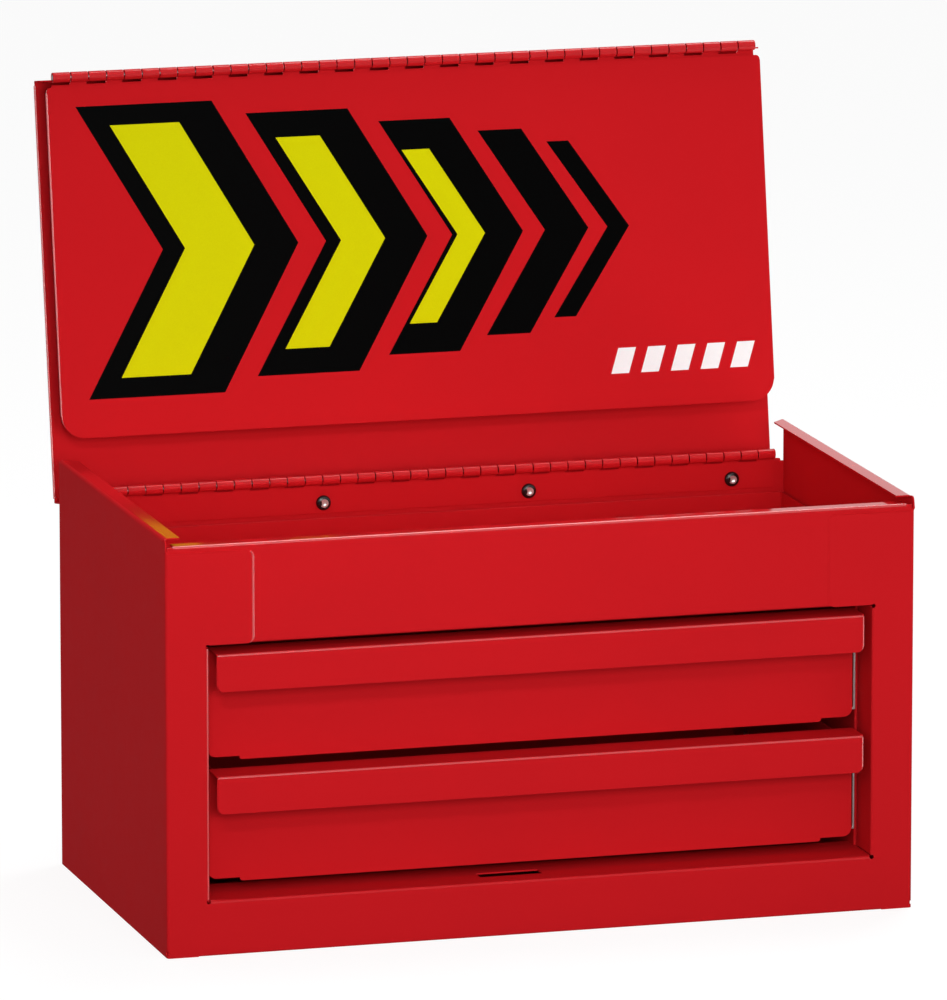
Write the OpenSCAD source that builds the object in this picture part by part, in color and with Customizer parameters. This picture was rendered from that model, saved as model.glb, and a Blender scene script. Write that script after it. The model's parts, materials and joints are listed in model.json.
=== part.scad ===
// Portable tool box: folded sheet-steel case, two drawers on ball slides,
// a top compartment, and a lid that carries a hinged front cover.
// X runs to the right, the front faces -Y, Z is up. Millimetres.
// The origin is the centre of the underside.

/* [Case] */
// Outside width of the case
case_w = 530; // [480:1:620]
// Outside depth of the case
case_d = 290; // [280:1:330]
// Height of the side walls
case_h = 289; // [287:1:300]
// Height of the upper front panel's top edge
front_h = 284; // [282:1:285]
// Thickness of the folded sheet
sheet = 1; // [0.8:0.1:1.2]

/* [Front opening] */
// Width of the drawer opening
opening_w = 470; // [460:1:472]
// Height of the sill above the ground
sill_z = 38; // [34:0.5:40]
// Height of the opening's top edge
opening_top = 215; // [214:0.5:216]
// Depth of the folded door jambs
jamb_depth = 30; // [15:1:31]
// Depth of the folded sill
sill_depth = 49; // [35:1:60]

/* [Drawers] */
// Height of the lower drawer's ledge
lower_ledge_z = 123.7; // [122:0.1:126]
// Distance between the two ledges
drawer_pitch = 84.5; // [82:0.5:86]
// Width of a drawer front and its lip
drawer_w = 460; // [450:1:462]
// Height of the finger lip
lip_h = 26; // [20:1:32]
// Depth of the ledge behind the lip
ledge_depth = 26; // [18:1:27]
// Height of a drawer front
drawer_front_h = 79; // [72:1:80]
// Width of a drawer's body
drawer_body_w = 443; // [430:0.5:443]
// Length of a drawer body
drawer_len = 240; // [200:1:245]

/* [Top compartment] */
// Height of the compartment floor's underside
floor_z = 216; // [216:0.5:220]
// Height of the compartment pan's rim
rim_z = 236.7; // [232:0.1:239]

/* [Hinges] */
// Length of both piano hinges
hinge_len = 512; // [440:1:516]
// Number of knuckles in a hinge
knuckles = 40; // [20:2:50]
// Outside diameter of a knuckle
knuckle_d = 7.2; // [6.4:0.1:7.4]
// Diameter of a hinge pin
pin_d = 4; // [3:0.1:4.2]
// Height of the rear hinge's axis
rear_axis_z = 264.8; // [263:0.1:266]
// Width of the rear hinge's leaf on the case
case_leaf = 24.7; // [22:0.1:27]

/* [Lid] */
// Width of the lid
lid_w = 524.6; // [500:0.1:525]
// Height of the lid's sheet above the rear axis when shut
lid_rise = 30.5; // [30:0.1:34]
// Distance that the lid's flanges stand off the case, front and back
lid_overhang = 2.6; // [2.4:0.1:3]
// How far past shut the lid stands open
lid_open = 99.5; // [95:0.1:100]

/* [Cover] */
// Width of the front cover
cover_w = 520.2; // [500:0.1:523]
// Height of the front cover
cover_h = 244.4; // [220:0.1:250]
// Radius of the cover's free corners
cover_r = 16; // [8:1:24]
// Distance of the front axis below the lid's sheet
cover_drop = 26.2; // [25.5:0.1:28]

/* [Handle] */
// Spacing of the handle's two pivots
handle_w = 150; // [110:2:180]
// Reach of the handle's arms
handle_reach = 40; // [34:1:60]
// Diameter of the handle's rod
rod_d = 7; // [6:0.1:8]
// Diameter of the grip sleeve
grip_d = 17; // [14:0.5:18]

/* [Hidden] */
$fn = 48;

FIXED_NODES = [
    "case_shell", "upper_front_panel", "bottom_panel", "back_panel", "compartment_pan",
    "left_slide_carrier", "right_slide_carrier",
    "upper_left_case_slide", "upper_right_case_slide",
    "lower_left_case_slide", "lower_right_case_slide", "case_slide_screws",
    "rear_hinge_case_leaf", "rear_hinge_pin", "rear_hinge_screws", "rear_hinge_nuts"];
LID_NODES = [
    "lid_panel", "rear_hinge_lid_leaf", "front_hinge_lid_leaf", "front_hinge_pin",
    "left_handle_bracket", "right_handle_bracket", "handle_rivets",
    "cover_panel", "front_hinge_cover_leaf", "handle_bail", "handle_grip"];
DRAWER_NODES = [
    "upper_drawer_body", "upper_drawer_front", "upper_drawer_slide_screws",
    "upper_left_drawer_slide", "upper_right_drawer_slide",
    "upper_left_middle_slide", "upper_right_middle_slide",
    "upper_outer_ball_cages", "upper_inner_ball_cages",
    "lower_drawer_body", "lower_drawer_front", "lower_drawer_slide_screws",
    "lower_left_drawer_slide", "lower_right_drawer_slide",
    "lower_left_middle_slide", "lower_right_middle_slide",
    "lower_outer_ball_cages", "lower_inner_ball_cages"];

paint_red = [0.72, 0.1, 0.12];
zinc = [0.78, 0.78, 0.76];
black_steel = [0.12, 0.12, 0.12];
grip_black = [0.08, 0.08, 0.08];

eps = 0.01;
half_w = case_w / 2;
front_y = -case_d / 2;
back_y = case_d / 2;
inner_x = half_w - sheet;

// Front frame
frame_top = 279;
tab_x = 203;
tab_r = 4;
side_corner_r = 5;
corner_bend_r = 2.4;
relief_d = 3;
foot_x = 243;
slot_len = 44;
slot_w = 12;
slot_x = -17.7;
slot_y = front_y + 16.4;

// Side wall top flanges
side_flange_w = 11.5;
side_flange_start = front_y + 6;
side_flange_chamfer = 10;
side_flange_bend_r = 2.2;

// Hinges
knuckle_r = knuckle_d / 2;
bore_d = pin_d + 0.1;
pitch = hinge_len / knuckles;
knuckle_gap = 0.3;
leaf_start = knuckle_r + 1;
rear_axis_y = back_y - sheet - knuckle_r;
leaf_t = 1;
rear_screw_x = [-225, -75, 75, 225];
rear_screw_z = rear_axis_z - 17;
rear_screw_d = 5;

// Lid, described shut and then swung open
lid_z = rear_axis_z + lid_rise;
lid_front_y = front_y - lid_overhang;
lid_back_y = back_y + lid_overhang;
lid_flange_cut = 6;
lid_rear_gap = 6.5;
front_axis_y = lid_front_y + sheet + leaf_t - knuckle_r;
front_axis_z = lid_z - cover_drop;
hem_w = 9;
hem_end = 3;

// Cover, described folded under the lid
cover_leaf_z = front_axis_z + knuckle_r - leaf_t;
cover_z = cover_leaf_z - sheet;
cover_y = front_axis_y + 7;

// Handle
handle_y = (lid_front_y + lid_back_y) / 2;
handle_z = lid_z + sheet + grip_d / 2 + 1.2;
bracket_gap = 1;
rivet_y = 10.4;
pivot_bend_r = 5;
grip_bend_r = 9;

// Drawers
upper_ledge_z = lower_ledge_z + drawer_pitch;
drawer_face_y = front_y + ledge_depth;
body_y = drawer_face_y + sheet;
body_drop = drawer_front_h - 2.4;
body_h = 72;
lip_r = 4.5;
lip_top_r = 2.6;
step_x = 207;

// Slides, measured outward from the drawer's side
side_x = drawer_body_w / 2;
slide_h = 45;
slide_deep = 12.7;
slide_drop = 51;
slide_y = drawer_face_y + 8;
slide_len = drawer_len - 4;
carrier_x = side_x + slide_deep;
carrier_y = front_y + jamb_depth + 4.6;
carrier_len = back_y - 16 - carrier_y;
carrier_h = floor_z;
ball_d = 3;
ball_gap = 3.6;
mid_h = slide_h - 2 * sheet * 1.2 - 2 * ball_gap;
inner_h = mid_h - 2 * sheet - 2 * ball_gap;
screw_d = 4;
screw_y = [carrier_y + 22, carrier_y + carrier_len - 40];

// A box given by its two corners
module box(a, b) {
    translate(a) cube(b - a);
}

// A bar with a square outside edge turned away, for rounding an edge along X
module edge_cut_x(len, r) {
    rotate([90, 0, 90])
        linear_extrude(height = len)
            difference() {
                translate([-1, -1]) square(r + 1);
                translate([r, r]) circle(r);
            }
}

// The same cutter standing along Z
module edge_cut_z(len, r) {
    linear_extrude(height = len)
        difference() {
            translate([-1, -1]) square(r + 1);
            translate([r, r]) circle(r);
        }
}

// The same cutter lying along Y
module edge_cut_y(len, r) {
    rotate([-90, 0, 0])
        linear_extrude(height = len)
            difference() {
                translate([-1, 1]) mirror([0, 1]) square(r + 1);
                translate([r, -r]) circle(r);
            }
}

// A plate outline with its four corners rounded by their own radii
module rounded_outline(w, h, r_top, r_bottom) {
    difference() {
        translate([-w / 2, 0]) square([w, h]);
        for (side = [-1, 1]) {
            translate([side * w / 2, 0]) corner_bite(-side, 1, r_bottom);
            translate([side * w / 2, h]) corner_bite(-side, -1, r_top);
        }
    }
}

// The waste outside a round corner, inward along the two given signs
module corner_bite(sx, sy, r) {
    mirror([sx < 0 ? 1 : 0, 0]) mirror([0, sy < 0 ? 1 : 0])
        difference() {
            translate([-1, -1]) square(r + 1);
            translate([r, r]) circle(r);
        }
}

// ---------------------------------------------------------------- case

// Outline of the front frame: stiles, bottom rail and the two upper tabs
module frame_outline() {
    difference() {
        translate([-half_w, 0]) square([case_w, frame_top]);
        translate([-opening_w / 2, sill_z]) square([opening_w, case_h]);
        translate([-tab_x, opening_top]) square([2 * tab_x, case_h]);
    }
    for (side = [-1, 1])
        tab_outline(side);
}

module tab_outline(side) {
    inset = tab_x - opening_w / 2;
    difference() {
        translate([side > 0 ? tab_x : -opening_w / 2 - eps, opening_top])
            square([-inset + eps, frame_top - opening_top]);
        translate([side * tab_x, opening_top]) corner_bite(side, 1, tab_r);
        translate([side * tab_x, frame_top]) corner_bite(side, -1, tab_r);
    }
}

module frame_front() {
    translate([0, front_y + sheet, 0])
        rotate([90, 0, 0])
            linear_extrude(height = sheet)
                frame_outline();
}

module side_wall() {
    translate([-half_w, 0, 0])
        rotate([90, 0, 90])
            linear_extrude(height = sheet)
                difference() {
                    translate([front_y, 0]) square([case_d, case_h]);
                    translate([front_y, case_h]) corner_bite(1, -1, side_corner_r);
                }
}

module side_flange() {
    translate([-half_w, 0, case_h - sheet])
        linear_extrude(height = sheet)
            polygon([
                [0, side_flange_start],
                [side_flange_w, side_flange_start],
                [side_flange_w, back_y - side_flange_chamfer - sheet],
                [sheet, back_y - sheet],
                [0, back_y - sheet]]);
}

module jamb() {
    box([-opening_w / 2 - sheet, front_y, sill_z + 1.6],
        [-opening_w / 2, front_y + jamb_depth, opening_top - 2]);
}

module sill() {
    difference() {
        box([-opening_w / 2 + 1.6, front_y, sill_z - sheet],
            [opening_w / 2 - 1.6, front_y + sill_depth, sill_z]);
        translate([slot_x - slot_len / 2, slot_y, sill_z - 3])
            cube([slot_len, slot_w, 6]);
    }
}

module case_shell() {
    color(paint_red)
        difference() {
            union() {
                frame_front();
                sill();
                for (side = [0, 1])
                    mirror([side, 0, 0]) {
                        side_wall();
                        side_flange();
                        jamb();
                    }
            }
            for (side = [0, 1])
                mirror([side, 0, 0]) {
                    translate([-half_w, front_y, -1]) edge_cut_z(frame_top + 1, corner_bend_r);
                    translate([-opening_w / 2, front_y, sill_z + 1.6])
                        mirror([1, 0, 0]) edge_cut_z(opening_top - sill_z - 3.6, 1);
                    translate([-half_w, side_flange_start - 10, case_h])
                        mirror([0, 0, 1]) edge_cut_y(case_d + 20, side_flange_bend_r);
                    translate([-opening_w / 2 - 0.8, front_y - 1, sill_z - 0.4]) relief();
                    translate([-opening_w / 2 - 0.8, front_y - 1, opening_top - 1]) relief();
                    translate([-half_w + 0.6, front_y - 1, 3.3]) relief();
                }
            translate([-opening_w / 2 + 1.6, front_y, sill_z])
                mirror([0, 0, 1]) edge_cut_x(opening_w - 3.2, 1);
            box([-foot_x, front_y - 1, -1], [foot_x, front_y + 3, 1]);
        }
}

module relief() {
    rotate([-90, 0, 0]) cylinder(d = relief_d, h = 3, $fn = 24);
}

module upper_front_panel() {
    y0 = front_y + sheet;
    color(paint_red)
        difference() {
            union() {
                box([-inner_x + 0.6, y0, opening_top], [inner_x - 0.6, y0 + sheet, front_h]);
                box([-inner_x + 5, y0, front_h - sheet], [inner_x - 5, y0 + 10, front_h]);
                box([-opening_w / 2 + 1, y0, opening_top],
                    [opening_w / 2 - 1, y0 + 12, opening_top + sheet]);
            }
            translate([-half_w, y0, front_h]) mirror([0, 0, 1]) edge_cut_x(case_w, 1.2);
            translate([-half_w, y0, opening_top]) edge_cut_x(case_w, 1.2);
        }
}

module bottom_panel() {
    x = inner_x - 0.05;
    y = case_d / 2 - sheet - 0.05;
    lip = 12;
    color(paint_red)
        difference() {
            box([-x, -y, 0], [x, y, lip]);
            box([-x + sheet, -y + sheet, sheet], [x - sheet, y - sheet, lip + 1]);
        }
}

module back_panel() {
    x = inner_x - 0.05;
    top = rear_axis_z - 6;
    color(paint_red)
        difference() {
            union() {
                box([-x, back_y - sheet, 1.2], [x, back_y, top]);
                for (side = [0, 1])
                    mirror([side, 0, 0])
                        box([-x, back_y - 14, 13], [-x + sheet, back_y - sheet + eps, floor_z - 3]);
            }
            for (sx = rear_screw_x)
                translate([sx, 0, rear_screw_z]) cross_hole(rear_screw_d);
        }
}

// A round hole through the back wall, along Y
module cross_hole(d) {
    translate([0, back_y - 6, 0]) rotate([-90, 0, 0]) cylinder(d = d, h = 8);
}

module compartment_pan() {
    x = inner_x - 1.4;
    y0 = front_y + 2 * sheet + 0.2;
    y1 = back_y - sheet - leaf_t - 0.2;
    color(paint_red)
        difference() {
            box([-x, y0, floor_z], [x, y1, rim_z]);
            box([-x + sheet, y0 + sheet, floor_z + sheet], [x - sheet, y1 - sheet, rim_z + 1]);
            for (side = [0, 1])
                mirror([side, 0, 0]) {
                    translate([-x, y0 - 1, floor_z]) edge_cut_y(case_d, 1.5);
                    translate([-x, y0, floor_z - 1]) edge_cut_z(case_h, 1.5);
                    translate([-x, y1, floor_z - 1]) mirror([0, 1, 0]) edge_cut_z(case_h, 1.5);
                }
        }
}

// Upright channel on the left side that the slides are screwed to
module slide_carrier() {
    web = 1.2;
    box_y = carrier_y + carrier_len;
    difference() {
        union() {
            box([-carrier_x - web, carrier_y, sheet], [-carrier_x, box_y, carrier_h]);
            box([-inner_x, carrier_y, sheet], [-carrier_x, carrier_y + web, carrier_h]);
            box([-inner_x, box_y - web, sheet], [-carrier_x, box_y, carrier_h]);
        }
        translate([-carrier_x, carrier_y, -1]) mirror([1, 0, 0]) edge_cut_z(case_h, 1.4);
        for (ledge = [lower_ledge_z, upper_ledge_z])
            for (y = screw_y)
                translate([-carrier_x - 5, y, ledge - slide_drop])
                    rotate([0, 90, 0]) cylinder(d = screw_d, h = 10);
    }
}

module left_slide_carrier() {
    color(paint_red)
        difference() {
            slide_carrier();
            carrier_foot_cut();
        }
}

module right_slide_carrier() {
    color(paint_red)
        mirror([1, 0, 0])
            difference() {
                slide_carrier();
                carrier_foot_cut();
            }
}

// Room for the bottom panel's upturned edge
module carrier_foot_cut() {
    box([-half_w, -case_d, -1], [-inner_x + 1.3, case_d, 12.5]);
}

// ---------------------------------------------------------------- slides

// A channel along Y that opens toward the drawer: web outside, flanges at both edges
module channel(web_x, flange_x, h, t) {
    y1 = slide_y + slide_len;
    difference() {
        box([-web_x, slide_y, -h / 2], [-flange_x, y1, h / 2]);
        box([-web_x + t, slide_y - 1, -h / 2 + t], [-flange_x + 1, y1 + 1, h / 2 - t]);
    }
}

module case_slide(ledge) {
    color(zinc)
        translate([0, 0, ledge - slide_drop])
            difference() {
                channel(side_x + slide_deep, side_x + 3.4, slide_h, 1.2);
                for (y = screw_y)
                    translate([-carrier_x - 1, y, 0])
                        rotate([0, 90, 0]) cylinder(d = screw_d, h = 4);
            }
}

module middle_slide(ledge) {
    color(zinc)
        translate([0, 0, ledge - slide_drop])
            channel(side_x + slide_deep - 2.2, side_x + 3, mid_h, 1);
}

// Drawer member: a narrow channel on the drawer's side, open outward
module drawer_slide(ledge) {
    y1 = slide_y + slide_len;
    color(zinc)
        translate([0, 0, ledge - slide_drop])
            difference() {
                box([-side_x - 8, slide_y, -inner_h / 2], [-side_x, y1, inner_h / 2]);
                box([-side_x - 9, slide_y - 1, -inner_h / 2 + 1],
                    [-side_x - 1, y1 + 1, inner_h / 2 - 1]);
                for (y = screw_y)
                    translate([-side_x - 2, y, 0])
                        rotate([0, 90, 0]) cylinder(d = screw_d, h = 4);
            }
}

// Ball strips between two slide members, on both sides of a drawer
module ball_cages(ledge, gap_z, x0, x1, y0, len, balls) {
    step = len / balls;
    color(zinc)
        for (side = [0, 1])
            mirror([side, 0, 0])
                for (up = [-1, 1])
                    translate([0, y0, ledge - slide_drop + up * gap_z]) {
                        box([-x1, 0, -0.4], [-x0, len, 0.4]);
                        for (i = [0 : balls - 1])
                            translate([-(x0 + x1) / 2, (i + 0.5) * step, 0]) sphere(d = ball_d);
                    }
}

module outer_ball_cages(ledge) {
    ball_cages(ledge, mid_h / 2 + ball_gap / 2, side_x + 4.5, side_x + 9.5,
               drawer_face_y + 64, 120, 6);
}

module inner_ball_cages(ledge) {
    ball_cages(ledge, inner_h / 2 + ball_gap / 2, side_x + 3.4, side_x + 7.6,
               drawer_face_y + 64, 120, 6);
}

// Pan-head screws that hold the case slides to the carriers
module case_slide_screws() {
    color(zinc)
        for (side = [0, 1])
            mirror([side, 0, 0])
                for (ledge = [lower_ledge_z, upper_ledge_z])
                    for (y = screw_y)
                        translate([-carrier_x - 1.2, y, ledge - slide_drop])
                            rotate([0, -90, 0]) pan_screw(2.2);
}

module drawer_slide_screws(ledge) {
    color(zinc)
        for (side = [0, 1])
            mirror([side, 0, 0])
                for (y = screw_y)
                    translate([-side_x + sheet, y, ledge - slide_drop])
                        rotate([0, 90, 0]) pan_screw(2);
}

// A low screw head on a shank that passes back through the sheets
module pan_screw(grip) {
    difference() {
        cylinder(d = 7.5, h = 2);
        translate([-3, -0.5, 1.2]) cube([6, 1, 1]);
        translate([-0.5, -3, 1.2]) cube([1, 6, 1]);
    }
    translate([0, 0, -grip]) cylinder(d = screw_d, h = grip + eps);
}

// ---------------------------------------------------------------- drawers

module drawer_body(ledge) {
    x = side_x;
    z0 = ledge - body_drop;
    color(paint_red)
        difference() {
            box([-x, body_y, z0], [x, body_y + drawer_len, z0 + body_h]);
            box([-x + sheet, body_y + sheet, z0 + sheet],
                [x - sheet, body_y + drawer_len - sheet, z0 + body_h + 1]);
            for (side = [0, 1])
                mirror([side, 0, 0]) {
                    translate([-x, body_y - 1, z0]) edge_cut_y(drawer_len + 2, 1.6);
                    for (y = screw_y)
                        translate([-x - 1, y, ledge - slide_drop])
                            rotate([0, 90, 0]) cylinder(d = screw_d, h = 4);
                }
        }
}

// Drawer front: recessed face with bent-back sides, a flat ledge above it
// and a finger lip at the front
module drawer_front(ledge) {
    x = drawer_w / 2;
    lift = 2.4;
    color(paint_red)
        difference() {
            union() {
                translate([0, body_y, ledge - drawer_front_h])
                    rotate([90, 0, 0])
                        linear_extrude(height = sheet) face_outline(lift);
                box([-x, front_y, ledge - sheet], [x, body_y, ledge]);
                translate([0, front_y + sheet, ledge - lip_h])
                    rotate([90, 0, 0])
                        linear_extrude(height = sheet)
                            rounded_outline(drawer_w, lip_h, lip_top_r, lip_r);
                for (side = [0, 1])
                    mirror([side, 0, 0])
                        box([-x, drawer_face_y, ledge - drawer_front_h + lift + 6],
                            [-x + sheet, drawer_face_y + 7, ledge]);
            }
            translate([-drawer_w, front_y, ledge]) mirror([0, 0, 1]) edge_cut_x(2 * drawer_w, 1.5);
            for (side = [0, 1])
                mirror([side, 0, 0]) {
                    translate([-x, drawer_face_y, ledge - drawer_front_h - 1])
                        edge_cut_z(drawer_front_h, 1.5);
                    translate([-x, front_y, ledge - sheet]) edge_cut_z(2 * sheet, lip_top_r);
                }
        }
}

// The recessed face, lower in the middle and rounded at its bottom corners
module face_outline(lift) {
    x = drawer_w / 2;
    difference() {
        rounded_outline(drawer_w, drawer_front_h, 0.01, 6);
        for (side = [0, 1])
            mirror([side, 0]) {
                translate([step_x, -1]) square([x - step_x + 1, lift + 1]);
                translate([x, lift]) corner_bite(-1, 1, 6);
            }
    }
}

// ---------------------------------------------------------------- hinges

// Tubes along X that belong to one leaf, every second knuckle
module knuckle_row(first) {
    for (i = [first : 2 : knuckles - 1])
        translate([-hinge_len / 2 + i * pitch + knuckle_gap / 2, 0, 0])
            rotate([0, 90, 0]) cylinder(r = knuckle_r, h = pitch - knuckle_gap);
}

// The leaf's tongues that wrap round its own knuckles, toward +Y
module tongues(first) {
    for (i = [first : 2 : knuckles - 1])
        translate([-hinge_len / 2 + i * pitch + knuckle_gap / 2, 0, knuckle_r - leaf_t])
            cube([pitch - knuckle_gap, leaf_start + 0.5, leaf_t]);
}

// A hinge half that lies along +Y, level with the top of its knuckles
module hinge_half(first, leaf_w) {
    difference() {
        union() {
            knuckle_row(first);
            tongues(first);
            box([-hinge_len / 2, leaf_start, knuckle_r - leaf_t],
                [hinge_len / 2, leaf_w, knuckle_r]);
        }
        translate([-hinge_len / 2 - 1, 0, 0])
            rotate([0, 90, 0]) cylinder(d = bore_d, h = hinge_len + 2);
    }
}

module hinge_pin() {
    translate([-hinge_len / 2, 0, 0])
        rotate([0, 90, 0]) cylinder(d = pin_d, h = hinge_len);
}

// Moves a hinge half to the rear axis with its leaf hanging down the back wall
module rear_hinge_case_leaf() {
    color(paint_red)
        difference() {
            translate([0, rear_axis_y, rear_axis_z])
                rotate([-90, 0, 0]) hinge_half(1, case_leaf);
            for (sx = rear_screw_x)
                translate([sx, 0, rear_screw_z]) cross_hole(rear_screw_d);
        }
}

module rear_hinge_pin() {
    color(zinc)
        translate([0, rear_axis_y, rear_axis_z]) hinge_pin();
}

// Domed socket screws through the leaf and the back wall
module rear_hinge_screws() {
    head_y = back_y - sheet - leaf_t;
    color(black_steel)
        for (sx = rear_screw_x)
            translate([sx, head_y, rear_screw_z])
                rotate([90, 0, 0])
                    difference() {
                        union() {
                            intersection() {
                                cylinder(d = 10.6, h = 3.2);
                                translate([0, 0, -4]) sphere(d = 14.4);
                            }
                            translate([0, 0, -8]) cylinder(d = rear_screw_d, h = 8 + eps);
                        }
                        translate([0, 0, 1.4]) cylinder(d = 3.6, h = 4, $fn = 6);
                    }
}

module rear_hinge_nuts() {
    color(black_steel)
        for (sx = rear_screw_x)
            translate([sx, back_y, rear_screw_z])
                rotate([-90, 0, 0])
                    difference() {
                        cylinder(d = 9.2, h = 4, $fn = 6);
                        translate([0, 0, -1]) cylinder(d = rear_screw_d, h = 6);
                    }
}

// ---------------------------------------------------------------- lid

// Swings a shut-position piece to the open rest position
module opened() {
    translate([0, rear_axis_y, rear_axis_z])
        rotate([-lid_open, 0, 0])
            translate([0, -rear_axis_y, -rear_axis_z])
                children();
}

// Half-width x, height h, with both free corners cut off at an angle
module cut_flange_outline(x, h, cut) {
    polygon([
        [-x, h],
        [-x, cut],
        [-x + cut, 0],
        [x - cut, 0],
        [x, cut],
        [x, h]]);
}

module lid_panel() {
    x = lid_w / 2;
    flange_end = front_axis_z + knuckle_r + 0.8;
    flange_h = lid_z + sheet - flange_end;
    rear_end = rear_axis_z + lid_rear_gap;
    rear_hem_y = rear_axis_y + knuckle_r;
    color(paint_red)
        opened()
            difference() {
                union() {
                    box([-x, lid_front_y, lid_z], [x, lid_back_y, lid_z + sheet]);
                    translate([0, lid_front_y + sheet, flange_end])
                        rotate([90, 0, 0])
                            linear_extrude(height = sheet)
                                cut_flange_outline(x, flange_h, lid_flange_cut);
                    box([-x, lid_back_y - sheet, rear_end], [x, lid_back_y, lid_z + sheet]);
                    box([-x, rear_hem_y, rear_end], [x, lid_back_y, rear_end + sheet]);
                    box([-x, rear_hem_y, rear_end], [x, rear_hem_y + sheet, rear_end + hem_w]);
                    for (side = [0, 1])
                        mirror([side, 0, 0])
                            box([-x, lid_front_y + hem_end, lid_z],
                                [-x + hem_w, lid_back_y - hem_end, lid_z + 2 * sheet]);
                }
                translate([-case_w, lid_front_y, lid_z + sheet])
                    mirror([0, 0, 1]) edge_cut_x(2 * case_w, 1.6);
                translate([-case_w, lid_back_y, lid_z + sheet])
                    mirror([0, 1, 0]) mirror([0, 0, 1]) edge_cut_x(2 * case_w, 1.6);
                for (side = [0, 1])
                    mirror([side, 0, 0])
                        for (x_cut = [handle_w / 2 - 5, handle_w / 2 + 5])
                            for (y_cut = [-rivet_y, rivet_y])
                                translate([x_cut, handle_y + y_cut, lid_z - 1])
                                    cylinder(d = 3.2, h = 4);
            }
}

module rear_hinge_lid_leaf() {
    color(paint_red)
        opened()
            translate([0, rear_axis_y, rear_axis_z])
                mirror([0, 1, 0]) rotate([90, 0, 0]) hinge_half(0, lid_rise - 3);
}

module front_hinge_lid_leaf() {
    color(paint_red)
        opened()
            translate([0, front_axis_y, front_axis_z])
                rotate([90, 0, 0]) mirror([0, 0, 1]) hinge_half(0, cover_drop - 2);
}

module front_hinge_pin() {
    color(zinc)
        opened()
            translate([0, front_axis_y, front_axis_z]) hinge_pin();
}

// ---------------------------------------------------------------- cover

module cover_panel() {
    color(paint_red)
        opened() {
            translate([0, cover_y, cover_z])
                linear_extrude(height = sheet)
                    rounded_outline(cover_w, cover_h, cover_r, 3);
            for (side = [0, 1])
                mirror([side, 0, 0])
                    box([-cover_w / 2, cover_y + 4, cover_z],
                        [-cover_w / 2 + 4, cover_y + cover_h - cover_r, cover_z + 2 * sheet]);
            box([-cover_w / 2 + cover_r, cover_y + cover_h - 4, cover_z],
                [cover_w / 2 - cover_r, cover_y + cover_h, cover_z + 2 * sheet]);
        }
}

module front_hinge_cover_leaf() {
    color(paint_red)
        opened()
            translate([0, front_axis_y, front_axis_z]) hinge_half(1, 28);
}

// ---------------------------------------------------------------- handle

// Turns the handle so that it hangs straight down from its pivots
module hanging() {
    translate([0, handle_y, handle_z])
        rotate([lid_open - 90, 0, 0])
            translate([0, -handle_y, -handle_z])
                children();
}

module handle_bracket() {
    base_z = lid_z + sheet;
    wall = 8;
    difference() {
        union() {
            box([handle_w / 2 - wall, handle_y - 14, base_z],
                [handle_w / 2 + wall, handle_y + 14, base_z + 2]);
            box([handle_w / 2 - wall / 2 + bracket_gap, handle_y - 7, base_z],
                [handle_w / 2 + wall / 2 + bracket_gap, handle_y + 7, handle_z]);
            translate([handle_w / 2 - wall / 2 + bracket_gap, handle_y, handle_z])
                rotate([0, 90, 0]) cylinder(r = 7, h = wall);
        }
        translate([handle_w / 2 - wall, handle_y, handle_z])
            rotate([0, 90, 0]) cylinder(d = rod_d + 0.1, h = 3 * wall);
        for (x = [-5, 5])
            for (y = [-rivet_y, rivet_y])
                translate([handle_w / 2 + x, handle_y + y, base_z - 1]) cylinder(d = 3.2, h = 4);
    }
}

module left_handle_bracket() {
    color(black_steel)
        opened() mirror([1, 0, 0]) handle_bracket();
}

module right_handle_bracket() {
    color(black_steel)
        opened() handle_bracket();
}

module handle_rivets() {
    color(zinc)
        opened()
            for (side = [0, 1])
                mirror([side, 0, 0])
                    for (x = [-5, 5])
                        for (y = [-rivet_y, rivet_y])
                            translate([handle_w / 2 + x, handle_y + y, lid_z - 0.8]) {
                                cylinder(d = 3.2, h = 4.2);
                                cylinder(d = 5.6, h = 0.8);
                                translate([0, 0, 3.8]) cylinder(d = 5.2, h = 0.9);
                            }
}

// Bent rod: two pivots, two arms and the bar inside the grip
module handle_bail() {
    arm_x = handle_w / 2 - 8;
    color(black_steel)
        opened()
            hanging()
                translate([0, handle_y, handle_z]) {
                    for (side = [0, 1])
                        mirror([side, 0, 0]) {
                            translate([arm_x + pivot_bend_r, 0, 0]) rod_x(20 - pivot_bend_r);
                            translate([arm_x + pivot_bend_r, pivot_bend_r, 0])
                                rotate([0, 0, 180]) rod_bend(pivot_bend_r);
                            translate([arm_x, pivot_bend_r, 0])
                                rotate([0, 0, 90])
                                    rod_x(handle_reach - pivot_bend_r - grip_bend_r);
                            translate([arm_x - grip_bend_r, handle_reach - grip_bend_r, 0])
                                rod_bend(grip_bend_r);
                        }
                    translate([-arm_x + grip_bend_r, handle_reach, 0])
                        rod_x(2 * (arm_x - grip_bend_r));
                }
}

module rod_x(len) {
    rotate([0, 90, 0]) cylinder(d = rod_d, h = len);
}

// A quarter turn of rod about the Z axis, from +X to +Y
module rod_bend(r) {
    rotate_extrude(angle = 90)
        translate([r, 0]) circle(d = rod_d);
}

module handle_grip() {
    grip_l = handle_w - 34;
    color(grip_black)
        opened()
            hanging()
                translate([-grip_l / 2, handle_y + handle_reach, handle_z])
                    rotate([0, 90, 0])
                        difference() {
                            cylinder(d = grip_d, h = grip_l);
                            translate([0, 0, -1]) cylinder(d = rod_d, h = grip_l + 2);
                        }
}

// ---------------------------------------------------------------- nodes

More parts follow.
